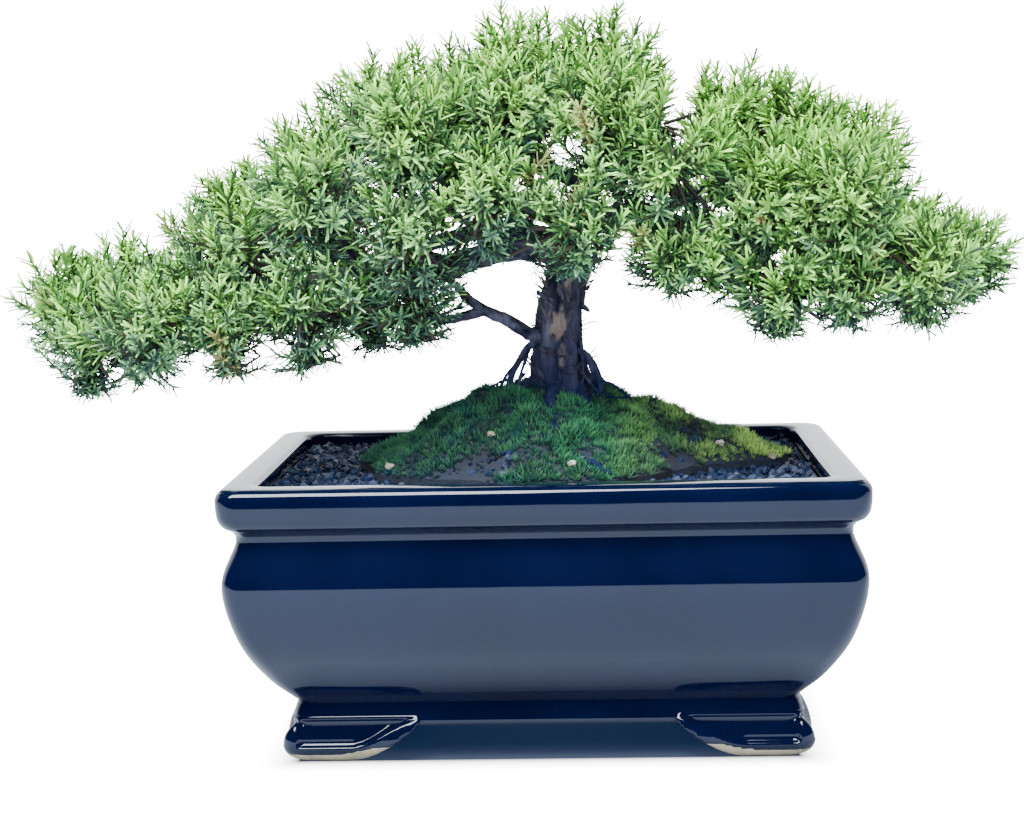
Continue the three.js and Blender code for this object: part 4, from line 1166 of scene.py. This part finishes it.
def loft_object(name, rings):
    """A closed skin through rings of equal point counts, with its ends filled."""
    vertices = [point for ring in rings for point in ring]
    count = len(rings[0])
    faces = [tuple(reversed(range(count))), tuple(range(len(vertices) - count, len(vertices)))]
    for row in range(len(rings) - 1):
        for i in range(count):
            after = (i + 1) % count
            first, second = row * count, (row + 1) * count
            faces.append((first + i, first + after, second + after, second + i))
    return mesh_object(name, vertices, faces=faces)


def arch_object(table, top, turn):
    """The space between two feet, right through the pot: the feet sweep up to it like cloud scrolls."""
    width = table - top
    sweep = [(table + 2, 0), (table - 0.2 * width, 1.9), (table - 0.45 * width, 4.4),
             (top + 0.26 * width, 8.4), (top, 13), (top, ARCH_TOP)]
    outline = [(-table - 2, -1), (table + 2, -1), *smooth_outline(sweep), (top, ARCH_TOP + 3)]
    outline += [(-x, z) for x, z in reversed(outline[2:])]
    spin = Matrix.Rotation(turn, 3, "Z")
    past = POT_WIDTH / 2 + 10
    rings = [[place(*(spin @ Vector((x, y, z)))) for x, z in outline] for y in (past, -past)]
    return loft_object("arch", rings)


def apply_modifiers(piece):
    depsgraph = bpy.context.evaluated_depsgraph_get()
    mesh = bpy.data.meshes.new_from_object(piece.evaluated_get(depsgraph), depsgraph=depsgraph)
    piece.modifiers.clear()
    piece.data = mesh


def cut(piece, cutter):
    modifier = piece.modifiers.new("Cut", "BOOLEAN")
    modifier.operation = "DIFFERENCE"
    modifier.solver = "EXACT"
    modifier.object = cutter
    apply_modifiers(piece)
    bpy.data.objects.remove(cutter)


def smoothstep(low, high, value):
    part = min(1.0, max(0.0, (value - low) / (high - low)))
    return part * part * (3 - 2 * part)


# Carving of the feet's outer faces, in millimetres: the scoop, the lip under it and the bare sole, and how
# much higher the lip and the sole's edge are at the arch
SCOOP_DEPTH = 2.4
SCOOP_TOP = 15.2
LIP_HEIGHT = 6.0
LIP_RISE = 8.6
SOLE_HEIGHT = 3.5
SOLE_RISE = 2.4
FOOT_VOXEL = 0.8


def carve_foot(point):
    """Sinks a place on a foot's outer face behind its lip, and gives how much it is the unglazed sole."""
    spot = (point - MIDDLE) / MM
    spot.z = point.z / MM
    faces = (("x", "y", POT_WIDTH / 2, POT_DEPTH / 2, FRONT_ARCH[1]),
             ("y", "x", POT_DEPTH / 2, POT_WIDTH / 2, SIDE_ARCH[1]))
    sole = 0.0
    for along, across, half_along, half_across, tip in faces:
        corner = half_along - FOOT_FLARE[2][0]
        swept = (corner - abs(getattr(spot, along))) / (corner - tip)
        behind = half_across - FOOT_FLARE[2][0] - abs(getattr(spot, across))
        lip = LIP_HEIGHT + LIP_RISE * smoothstep(0.5, 1.0, swept)
        inside = smoothstep(lip - 0.5, lip + 0.9, spot.z) * smoothstep(SCOOP_TOP, SCOOP_TOP - 2.2, spot.z)
        inside *= smoothstep(0.1, 0.16, swept) * smoothstep(1.0, 0.93, swept) * smoothstep(9, 6.5, behind)
        sign = math.copysign(1.0, getattr(spot, across))
        setattr(point, across, getattr(point, across) - sign * SCOOP_DEPTH * MM * inside)
        edge = SOLE_HEIGHT + SOLE_RISE * smoothstep(0.4, 0.75, swept)
        if swept < 0.85:
            sole = max(sole, smoothstep(edge + 0.25, edge - 0.25, spot.z))
    return sole


def make_feet():
    outline = smooth_outline(FOOT_FLARE)
    skirt = loft_object("feet", [pot_ring(*spot, corner_steps=10, side_steps=4) for spot in outline])
    inset = FOOT_FLARE[0][0] + FOOT_THICKNESS
    rings = [pot_ring(inset, height, corner_steps=4, side_steps=1) for height in (-1, POCKET_TOP)]
    cut(skirt, loft_object("pocket", rings))
    cut(skirt, arch_object(*FRONT_ARCH, turn=0))
    cut(skirt, arch_object(*SIDE_ARCH, turn=math.pi / 2))
    remesh = skirt.modifiers.new("Soft edges", "REMESH")
    remesh.mode = "VOXEL"
    remesh.voxel_size = FOOT_VOXEL * MM
    apply_modifiers(skirt)
    soften = skirt.modifiers.new("Soften", "SMOOTH")
    soften.factor = 0.5
    soften.iterations = 4
    apply_modifiers(skirt)
    store(skirt.data, "sole", [carve_foot(vertex.co) for vertex in skirt.data.vertices])
    for vertex in skirt.data.vertices:
        vertex.co.z = max(vertex.co.z, 0.0)
    shade_smooth(skirt.data)
    return skirt


def make_pot(settings):
    outline = [(NECK_INSET + 1, UNDERSIDE_HEIGHT)]
    outline += [(NECK_INSET - out, UNDERSIDE_HEIGHT + up) for out, up in FOOT_BAND]
    outline += smooth_outline(BELLY, 7) + smooth_outline(RIM_UNDERSIDE)
    outline += arc_outline(RIM_ROUND, POT_HEIGHT - RIM_ROUND, RIM_ROUND, 180, 90)
    outline += arc_outline(RIM_TOP_WIDTH - INNER_ROUND, POT_HEIGHT - INNER_ROUND, INNER_ROUND, 90, 0)
    outline += [(RIM_TOP_WIDTH + 1, POT_HEIGHT - RIM_BAND), (RIM_TOP_WIDTH + 3, 50), (RIM_TOP_WIDTH + 10, 32),
                (RIM_TOP_WIDTH + 18, FLOOR_HEIGHT)]
    body = loft_object("body", [pot_ring(inset, height) for inset, height in outline])
    for side in (-1, 1):
        angles = [i / DRAIN_STEPS * math.tau for i in range(DRAIN_STEPS)]
        ring = [(side * DRAIN_OFFSET + DRAIN_RADIUS * math.cos(angle), DRAIN_RADIUS * math.sin(angle))
                for angle in angles]
        cut(body, loft_object("drain", [[place(x, y, z) for x, y in ring] for z in (4, 30)]))
    shade_smooth(body.data)
    body.data.set_sharp_from_angle(angle=math.radians(SHARP_ANGLE))
    pot = join_objects("glazed_pot", [body, make_feet()])
    repaint(pot, glaze_material(settings))
    finish_piece(pot, ["pot"])


# Soil, stones, screens and moss

def lumpy_ball(name, subdivisions, lumps, seed, material, size=(1, 1, 1)):
    """A rough round shape of unit size."""
    bm = bmesh.new()
    bmesh.ops.create_icosphere(bm, subdivisions=subdivisions, radius=0.5)
    for vertex in bm.verts:
        push = noise.noise(vertex.co * 2.6 + Vector((seed, 2 * seed, 0.7))) * lumps
        vertex.co = vertex.co * (1 + push)
        vertex.co = Vector([vertex.co[i] * size[i] for i in range(3)])
    mesh = bpy.data.meshes.new(name)
    bm.to_mesh(mesh)
    bm.free()
    mesh.materials.append(material)
    return add_object(name, mesh)


FULL_TURN = 6.28
# Soil grains: smallest and largest, their proportions, how far they keep off the wall and go under the moss
GRAIN_SIZES = (1.6 * MM, 3.8 * MM)
GRAIN_PROPORTIONS = (1, 0.8, 0.65)
GRAIN_SHAPES = 4
WALL_GAP = 2.2
UNDER_MOSS = 3
SEEDS = {"spots": 7, "grains": 5, "flakes": 3, "moss": 2}


def grain_tree():
    wiring, given = new_tree("Soil grains", {
        "Grains": "Collection", "Smallest": "Float", "Largest": "Float", "Seed": "Int",
        "Material": "Material"})
    points = wiring.add("GeometryNodeMeshToPoints", {"Mesh": given["Geometry"]})[0]
    share = wiring.draw(0.0, 1.0, given["Seed"])
    shapes = wiring.add("GeometryNodeCollectionInfo", {
        "Collection": given["Grains"], "Separate Children": True, "Reset Children": True})[0]
    turn = wiring.turned(wiring.draw((0, 0, 0), (FULL_TURN,) * 3, given["Seed"]))
    size = wiring.blend(wiring.math("POWER", share, 2.0), given["Smallest"], given["Largest"])
    tinted = wiring.store(points, "tint", share)
    picked = {"Pick Instance": True}
    return wiring.finish(wiring.scatter(tinted, shapes, turn, size, given["Material"], **picked))


def lay_soil(settings):
    earth = soil_material(settings)
    repaint(frame["nodes"]["soil"], earth)
    draw = random.Random(SEEDS["spots"])
    inner_x, inner_y = (size / 2 - RIM_TOP_WIDTH - WALL_GAP for size in (POT_WIDTH, POT_DEPTH))
    spots = []
    while len(spots) < settings.grains:
        x, y = draw.uniform(-inner_x, inner_x), draw.uniform(-inner_y, inner_y)
        angle = math.atan2(y - MOSS_CENTRE[1], x - MOSS_CENTRE[0])
        away = math.hypot(x - MOSS_CENTRE[0], y - MOSS_CENTRE[1]) - moss_reach(angle)
        if away > -UNDER_MOSS:
            spots.append(place(x, y, SOIL_HEIGHT - 0.4 + draw.uniform(-0.4, 0.9)))
        elif bareness(x, y) > draw.uniform(0.4, 0.9):
            spots.append(place(x, y, moss_height_at(x, y) + draw.uniform(-0.6, 0.5)))
    grains = bpy.data.collections.new("grain_shapes")
    bpy.context.scene.collection.children.link(grains)
    for i in range(GRAIN_SHAPES):
        ball = lumpy_ball(f"grain_{i}", subdivisions=1, lumps=0.9, seed=i + 1, material=earth,
                          size=GRAIN_PROPORTIONS)
        bpy.context.scene.collection.objects.unlink(ball)
        grains.objects.link(ball)
    smallest, largest = GRAIN_SIZES
    piece = run_tree(mesh_object("grain_spots", spots), grain_tree(), {
        "Grains": grains, "Smallest": smallest, "Largest": largest, "Seed": SEEDS["grains"],
        "Material": earth}, "soil_grains")
    for ball in list(grains.objects):
        bpy.data.objects.remove(ball)
    bpy.data.collections.remove(grains)
    finish_piece(piece)


def make_pebbles():
    stone = mottled_material("pale_stone", srgb(104, 92, 78), srgb(146, 140, 130),
                             scales=(420.0, 2400.0, 0.6), roughness=0.7, relief=(0.4, 0.7))
    for number in range(1, 6):
        low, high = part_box(f"pebble_{number}")
        pebble = lumpy_ball(f"pale_pebble_{number}", subdivisions=3, lumps=0.7, seed=3.1 * number,
                            material=stone)
        corners = [vertex.co.copy() for vertex in pebble.data.vertices]
        least = Vector([min(corner[i] for corner in corners) for i in range(3)])
        most = Vector([max(corner[i] for corner in corners) for i in range(3)])
        for vertex in pebble.data.vertices:
            part = [(vertex.co[i] - least[i]) / (most[i] - least[i]) for i in range(3)]
            vertex.co = Vector([low[i] + (high[i] - low[i]) * part[i] for i in range(3)])
        shade_smooth(pebble.data)
        finish_piece(pebble, [f"pebble_{number}"])


def dress_screens():
    plastic = mottled_material("drain_mesh_plastic", srgb(20, 23, 26), srgb(34, 37, 39),
                               scales=(200.0, 2000.0, 0.5), roughness=0.5, relief=(0.1, 0.5))
    for side in ("left", "right"):
        repaint(frame["nodes"][f"screen_{side}"], plastic)


# Where the moss is thin or gone and dark fibrous soil shows: middle, half sizes and how bare
BARE_PATCHES = [
    ((50, -10), (4.5, 7), 0.9), ((-23, -48), (15, 7), 1.0), ((14.7, -45), (2.6, 2.2), 1.0),
    ((58, -30), (20, 9), 1.0), ((74, -16), (12, 5), 0.7), ((38, -48), (10, 3.5), 0.8),
]


def bareness(x, y):
    """How bare the cushion is at a place given in millimetres, with ragged edges."""
    ragged = 0.45 * noise.noise(Vector((x, y, 0)) / 5.5) + 0.25 * noise.noise(Vector((x, y, 9)) / 2.2)
    most = 0.0
    for middle, half, share in BARE_PATCHES:
        away = math.hypot((x - middle[0]) / half[0], (y - middle[1]) / half[1]) + ragged
        most = max(most, share * smoothstep(1.2, 0.75, away))
    return most


def moss_tuft(material):
    """Seven blades of unit height that fan out from one spot."""
    vertices = []
    faces = []
    part = []
    for blade in range(7):
        angle = blade * math.tau * GOLDEN_STEP
        lean = 0.2 + 0.7 * spread(blade, PLASTIC_STEP_A)
        height = 0.6 + 0.4 * spread(blade, PLASTIC_STEP_B)
        out = Vector((math.cos(angle), math.sin(angle), 0))
        foot = out * 0.22
        first = len(vertices)
        for i in range(3):
            turn = angle + i * math.tau / 3
            vertices.append(foot + Vector((math.cos(turn), math.sin(turn), 0)) * 0.1)
        vertices.append(foot + out * lean + UP * height)
        part += [0, 0, 0, 1]
        faces += [(first + 2, first + 1, first), (first, first + 1, first + 3),
                  (first + 1, first + 2, first + 3), (first + 2, first, first + 3)]
    return mesh_object("tuft", vertices, faces=faces, attributes={"part": part}, material=material)


# Moss grows on faces of the mat whose normal rises by more than this
LEAST_RISE = 0.02
MAT_SEGMENTS = 112
MAT_RINGS = 30


def moss_tree():
    wiring, given = new_tree("Moss blades", {
        "Density": "Float", "Blade Length": "Float", "Tuft": "Object", "Seed": "Int",
        "Blade Material": "Material"})
    rise = wiring.split(wiring.add("GeometryNodeInputNormal")[0])["Z"]
    bare = wiring.named("bare")
    density = wiring.times(given["Density"], wiring.span(bare, 0.2, 1.0, 1.0, 0.04))
    points = wiring.add("GeometryNodeDistributePointsOnFaces", {
        "Mesh": given["Geometry"], "Selection": wiring.compare(rise, "GREATER_THAN", LEAST_RISE),
        "Density": density, "Seed": given["Seed"]})
    tinted = wiring.store(points[0], "tint", wiring.draw(0.0, 1.0, given["Seed"]))
    upright = wiring.aligned(wiring.vector("ADD", points["Normal"], (0, 0, 0.9)), "Z")
    rotation = wiring.turned(wiring.draw((-0.3, -0.3, 0), (0.3, 0.3, FULL_TURN), given["Seed"]), upright)
    patch = wiring.noise(wiring.add("GeometryNodeInputPosition")[0], 90.0, detail=2.0, roughness=0.5)
    size = wiring.times(wiring.draw(0.7, 1.2, given["Seed"]), wiring.span(patch, 0.35, 0.65, 0.6, 1.15))
    size = wiring.times(size, wiring.span(bare, 0.0, 1.0, 1.0, 0.5))
    blades = wiring.scatter(tinted, wiring.shape(given["Tuft"]), rotation,
                            wiring.times(size, given["Blade Length"]), given["Blade Material"])
    return wiring.finish(blades, given["Geometry"])


def grow_moss(settings):
    angles = [i / MAT_SEGMENTS * math.tau for i in range(MAT_SEGMENTS)]
    layers = [[place(*moss_point(angle, 1)[:2], SOIL_HEIGHT + GAP) for angle in angles]]
    for ring in range(MAT_RINGS + 1):
        part = 1 - 0.9 * ring / MAT_RINGS
        layers.append([place(*moss_point(angle, part)) for angle in angles])
    mat = loft_object("moss_mat", layers)
    for vertex in mat.data.vertices:
        if vertex.co.z > (SOIL_HEIGHT + GAP + 1) * MM:
            vertex.co.z += 0.9 * MM * noise.noise(vertex.co * 260)
    mat.data.materials.append(moss_material(settings, False))
    store(mat.data, "bare", [bareness(*((vertex.co - MIDDLE) / MM)[:2]) for vertex in mat.data.vertices])
    area = sum(polygon.area for polygon in mat.data.polygons if polygon.normal.z > LEAST_RISE)
    blades = moss_material(settings, True)
    shape = moss_tuft(blades)
    moss = run_tree(mat, moss_tree(), {
        "Density": settings.tufts / area, "Blade Length": settings.blade_length, "Tuft": shape,
        "Seed": SEEDS["moss"], "Blade Material": blades}, "moss_cushion")
    bpy.data.objects.remove(shape)
    finish_piece(moss, ["moss"])


# Stage

# The floor reaches this far, in metres, but stops sooner in front, so that the pot mirrors the dark there
FLOOR_REACH = 6
FLOOR_FRONT = -0.5
# The camera's place in millimetres, and how it looks
CAMERA_SPOT = (17.3, -711.8, 193.6)
CAMERA_TURN = math.radians(2.33)
CAMERA_TILT = math.radians(6.86)
CAMERA_ROLL = math.radians(-1.3)


# The softbox: place and aim in millimetres, size in metres and power in watts
SOFTBOX_SPOT = (-300, -520, 1150)
SOFTBOX_AIM = (0, 0, 150)
SOFTBOX_SIZE = (0.85, 0.6)
SOFTBOX_POWER = 74
# Strength of the studio's light by direction, and of the white that the camera sees
STUDIO = {
    "mirrored front": (0.01, 0.02, 0.06, 1), "mirrored back": (2.8, 2.9, 3.1, 1), "low": (0.95, 1.1, 1.45, 1),
    "high": (2.3, 2.4, 2.5, 1), "front": (4.0, 4.3, 4.8, 1),
}
SEEN_WHITE = (18, 18, 18, 1)


def make_camera(settings):
    data = bpy.data.cameras.new("view")
    camera = add_object("view", data)
    data.lens = settings.lens
    data.sensor_width = 36
    camera.location = place(*CAMERA_SPOT)
    level = math.cos(CAMERA_TILT)
    ahead = Vector((-math.sin(CAMERA_TURN) * level, math.cos(CAMERA_TURN) * level, -math.sin(CAMERA_TILT)))
    roll = Matrix.Rotation(CAMERA_ROLL, 3, "Z")
    camera.rotation_euler = (ahead.to_track_quat("-Z", "Y").to_matrix() @ roll).to_euler()
    bpy.context.scene.camera = camera


def make_world():
    """White for the camera and soft light all round; the glaze mirrors it only above and behind."""
    world = bpy.data.worlds.new("studio")
    bpy.context.scene.world = world
    world.use_nodes = True
    wiring = Wiring(world.node_tree)
    parts = wiring.split(wiring.add("ShaderNodeTexCoord")["Generated"])
    behind = wiring.span(parts["Y"], 0.15, 0.5, smooth=True)
    mirrored = wiring.mix(behind, STUDIO["mirrored front"], STUDIO["mirrored back"])
    dome = wiring.mix(wiring.span(parts["Z"], -0.4, 0.9), STUDIO["low"], STUDIO["high"])
    front = wiring.times(wiring.span(parts["Y"], 0.2, -0.8), wiring.span(parts["Z"], -0.3, 0.3))
    dome = wiring.mix(front, dome, STUDIO["front"])
    paths = wiring.add("ShaderNodeLightPath")
    light = wiring.mix(paths["Is Glossy Ray"], dome, mirrored)
    light = wiring.mix(paths["Is Camera Ray"], light, SEEN_WHITE)
    wiring.feed(world.node_tree.nodes["Background"], {"Color": light})


def make_light(name, spot, aim, size, power):
    data = bpy.data.lights.new(name, "AREA")
    data.shape = "RECTANGLE"
    data.size, data.size_y = size
    data.energy = power
    lamp = add_object(name, data)
    lamp.location = spot
    lamp.rotation_euler = (aim - spot).to_track_quat("-Z", "Y").to_euler()


# How far in from the foot the painted shadow under the pot starts for mirrored rays, so that the floor still
# mirrors as pale in the belly, in millimetres
REFLECTED_FLOOR = 8
# The shadow painted on the floor under the pot: as its colour, and as the glow that the camera sees further
# back and towards the front
PAINTED_SHADOW_UNDER_POT = (0.003, 0.008, 0.02, 1)
PAINTED_SHADOW_BACK = (0.002, 0.016, 0.06, 1)
PAINTED_SHADOW_FRONT = (0.04, 0.056, 0.11, 1)


def make_floor(settings):
    """Pale paper that is lit up to white for the camera a little way outside the pot's foot, with a shadow
    painted under the pot in its colour and in its glow.
    """
    material, wiring, shader = new_material("seamless_paper")
    spot = object_coordinates(wiring)
    speck = wiring.span(wiring.noise(spot, 40.0), 0.3, 0.7, 0.985, 1.0)
    grey = wiring.add("ShaderNodeCombineXYZ", {0: speck, 1: speck, 2: speck})[0]
    colour = wiring.mix(1.0, settings.floor_colour[:], grey, blend="MULTIPLY")

    def distance_outside(inset):
        """How far a place on the floor is outside the rim's outline less the inset, in metres."""
        half = ((POT_WIDTH / 2 - inset) * MM, (POT_DEPTH / 2 - inset) * MM, 0)
        past = wiring.vector("SUBTRACT", wiring.vector("ABSOLUTE", spot), half)
        return wiring.vector("LENGTH", wiring.vector("MAXIMUM", past, (0, 0, 0)))

    away = distance_outside(FOOT_FLARE[0][0])
    reflected = distance_outside(FOOT_FLARE[0][0] + REFLECTED_FLOOR)
    seen = wiring.add("ShaderNodeLightPath")["Is Camera Ray"]
    # Painted shadow in the floor's colour, dark under the pot and fading out round it; mirrored rays see it
    # only further in
    near = wiring.span(wiring.blend(seen, reflected, away), 0.0, 2 * settings.shadow_width)
    finish_shader(wiring, shader, wiring.mix(near, PAINTED_SHADOW_UNDER_POT, colour), 0.8)
    # Painted shadow in the glow that the camera sees under the pot, paler towards the front, and white
    # outside the foot
    forwards = wiring.span(wiring.split(spot)["Y"], -0.036, -0.058, smooth=True)
    under = wiring.mix(forwards, PAINTED_SHADOW_BACK, PAINTED_SHADOW_FRONT)
    glow_with_painted_shadow = wiring.mix(wiring.span(away, 0.0, settings.shadow_width), under, SEEN_WHITE)
    wiring.feed(shader, {"Emission Color": glow_with_painted_shadow, "Emission Strength": seen})
    corners = [(-FLOOR_REACH, FLOOR_FRONT, 0), (FLOOR_REACH, FLOOR_FRONT, 0), (FLOOR_REACH, FLOOR_REACH, 0),
               (-FLOOR_REACH, FLOOR_REACH, 0)]
    floor = mesh_object("pale_floor", corners, faces=[(0, 1, 2, 3)])
    floor.data.materials.append(material)


# Operators

class BONSAI_OT_pot(bpy.types.Operator):
    """Make the glazed pot with its feet"""
    bl_idname = "bonsai.pot"
    bl_label = "Glazed Pot"
    bl_options = {"REGISTER", "UNDO"}

    def execute(self, context):
        make_pot(context.scene.bonsai.pot)
        return {"FINISHED"}


class BONSAI_OT_soil(bpy.types.Operator):
    """Dress the soil, its grains, the pebbles and the drain screens"""
    bl_idname = "bonsai.soil"
    bl_label = "Soil and Stones"
    bl_options = {"REGISTER", "UNDO"}

    def execute(self, context):
        lay_soil(context.scene.bonsai.ground)
        make_pebbles()
        dress_screens()
        return {"FINISHED"}


class BONSAI_OT_moss(bpy.types.Operator):
    """Grow the moss cushion"""
    bl_idname = "bonsai.moss"
    bl_label = "Moss"
    bl_options = {"REGISTER", "UNDO"}

    def execute(self, context):
        grow_moss(context.scene.bonsai.ground)
        return {"FINISHED"}


class BONSAI_OT_wood(bpy.types.Operator):
    """Grow the trunk, limbs and roots"""
    bl_idname = "bonsai.wood"
    bl_label = "Wood"
    bl_options = {"REGISTER", "UNDO"}

    def execute(self, context):
        grow_wood(context.scene.bonsai.wood)
        return {"FINISHED"}


class BONSAI_OT_foliage(bpy.types.Operator):
    """Grow the sprays of needles"""
    bl_idname = "bonsai.foliage"
    bl_label = "Needles"
    bl_options = {"REGISTER", "UNDO"}

    def execute(self, context):
        grow_foliage(context.scene.bonsai.foliage)
        return {"FINISHED"}


class BONSAI_OT_stage(bpy.types.Operator):
    """Set up the floor, the light and the camera"""
    bl_idname = "bonsai.stage"
    bl_label = "Stage"
    bl_options = {"REGISTER", "UNDO"}

    def execute(self, context):
        make_camera(context.scene.bonsai.stage)
        make_world()
        make_floor(context.scene.bonsai.stage)
        make_light("softbox", place(*SOFTBOX_SPOT), place(*SOFTBOX_AIM), SOFTBOX_SIZE, SOFTBOX_POWER)
        return {"FINISHED"}


class BonsaiSettings(bpy.types.PropertyGroup):
    foliage: bpy.props.PointerProperty(type=FoliageSettings)
    wood: bpy.props.PointerProperty(type=WoodSettings)
    pot: bpy.props.PointerProperty(type=PotSettings)
    ground: bpy.props.PointerProperty(type=GroundSettings)
    stage: bpy.props.PointerProperty(type=StageSettings)


class BONSAI_PT_panel(bpy.types.Panel):
    """Lists the bonsai's pieces and their settings"""
    bl_idname = "BONSAI_PT_panel"
    bl_label = "Juniper Bonsai"
    bl_space_type = "VIEW_3D"
    bl_region_type = "UI"
    bl_category = "Bonsai"

    def draw(self, context):
        settings = context.scene.bonsai
        groups = {"pot": ["pot"], "ground": ["soil", "moss"], "wood": ["wood"], "foliage": ["foliage"],
                  "stage": ["stage"]}
        for label, steps in groups.items():
            box = self.layout.box()
            group = getattr(settings, label)
            for key in type(group).__annotations__:
                box.prop(group, key)
            for step in steps:
                box.operator(f"bonsai.{step}")


CLASSES = (
    FoliageSettings, WoodSettings, PotSettings, GroundSettings, StageSettings, BonsaiSettings, BONSAI_OT_pot,
    BONSAI_OT_soil, BONSAI_OT_moss, BONSAI_OT_wood, BONSAI_OT_foliage, BONSAI_OT_stage, BONSAI_PT_panel,
)


def register():
    for cls in CLASSES:
        bpy.utils.register_class(cls)
    bpy.types.Scene.bonsai = bpy.props.PointerProperty(type=BonsaiSettings)


def unregister():
    del bpy.types.Scene.bonsai
    for cls in reversed(CLASSES):
        bpy.utils.unregister_class(cls)


def main():
    register()
    for step in ("stage", "pot", "soil", "moss", "wood", "foliage"):
        getattr(bpy.ops.bonsai, step)()


if __name__ == "__main__":
    main()
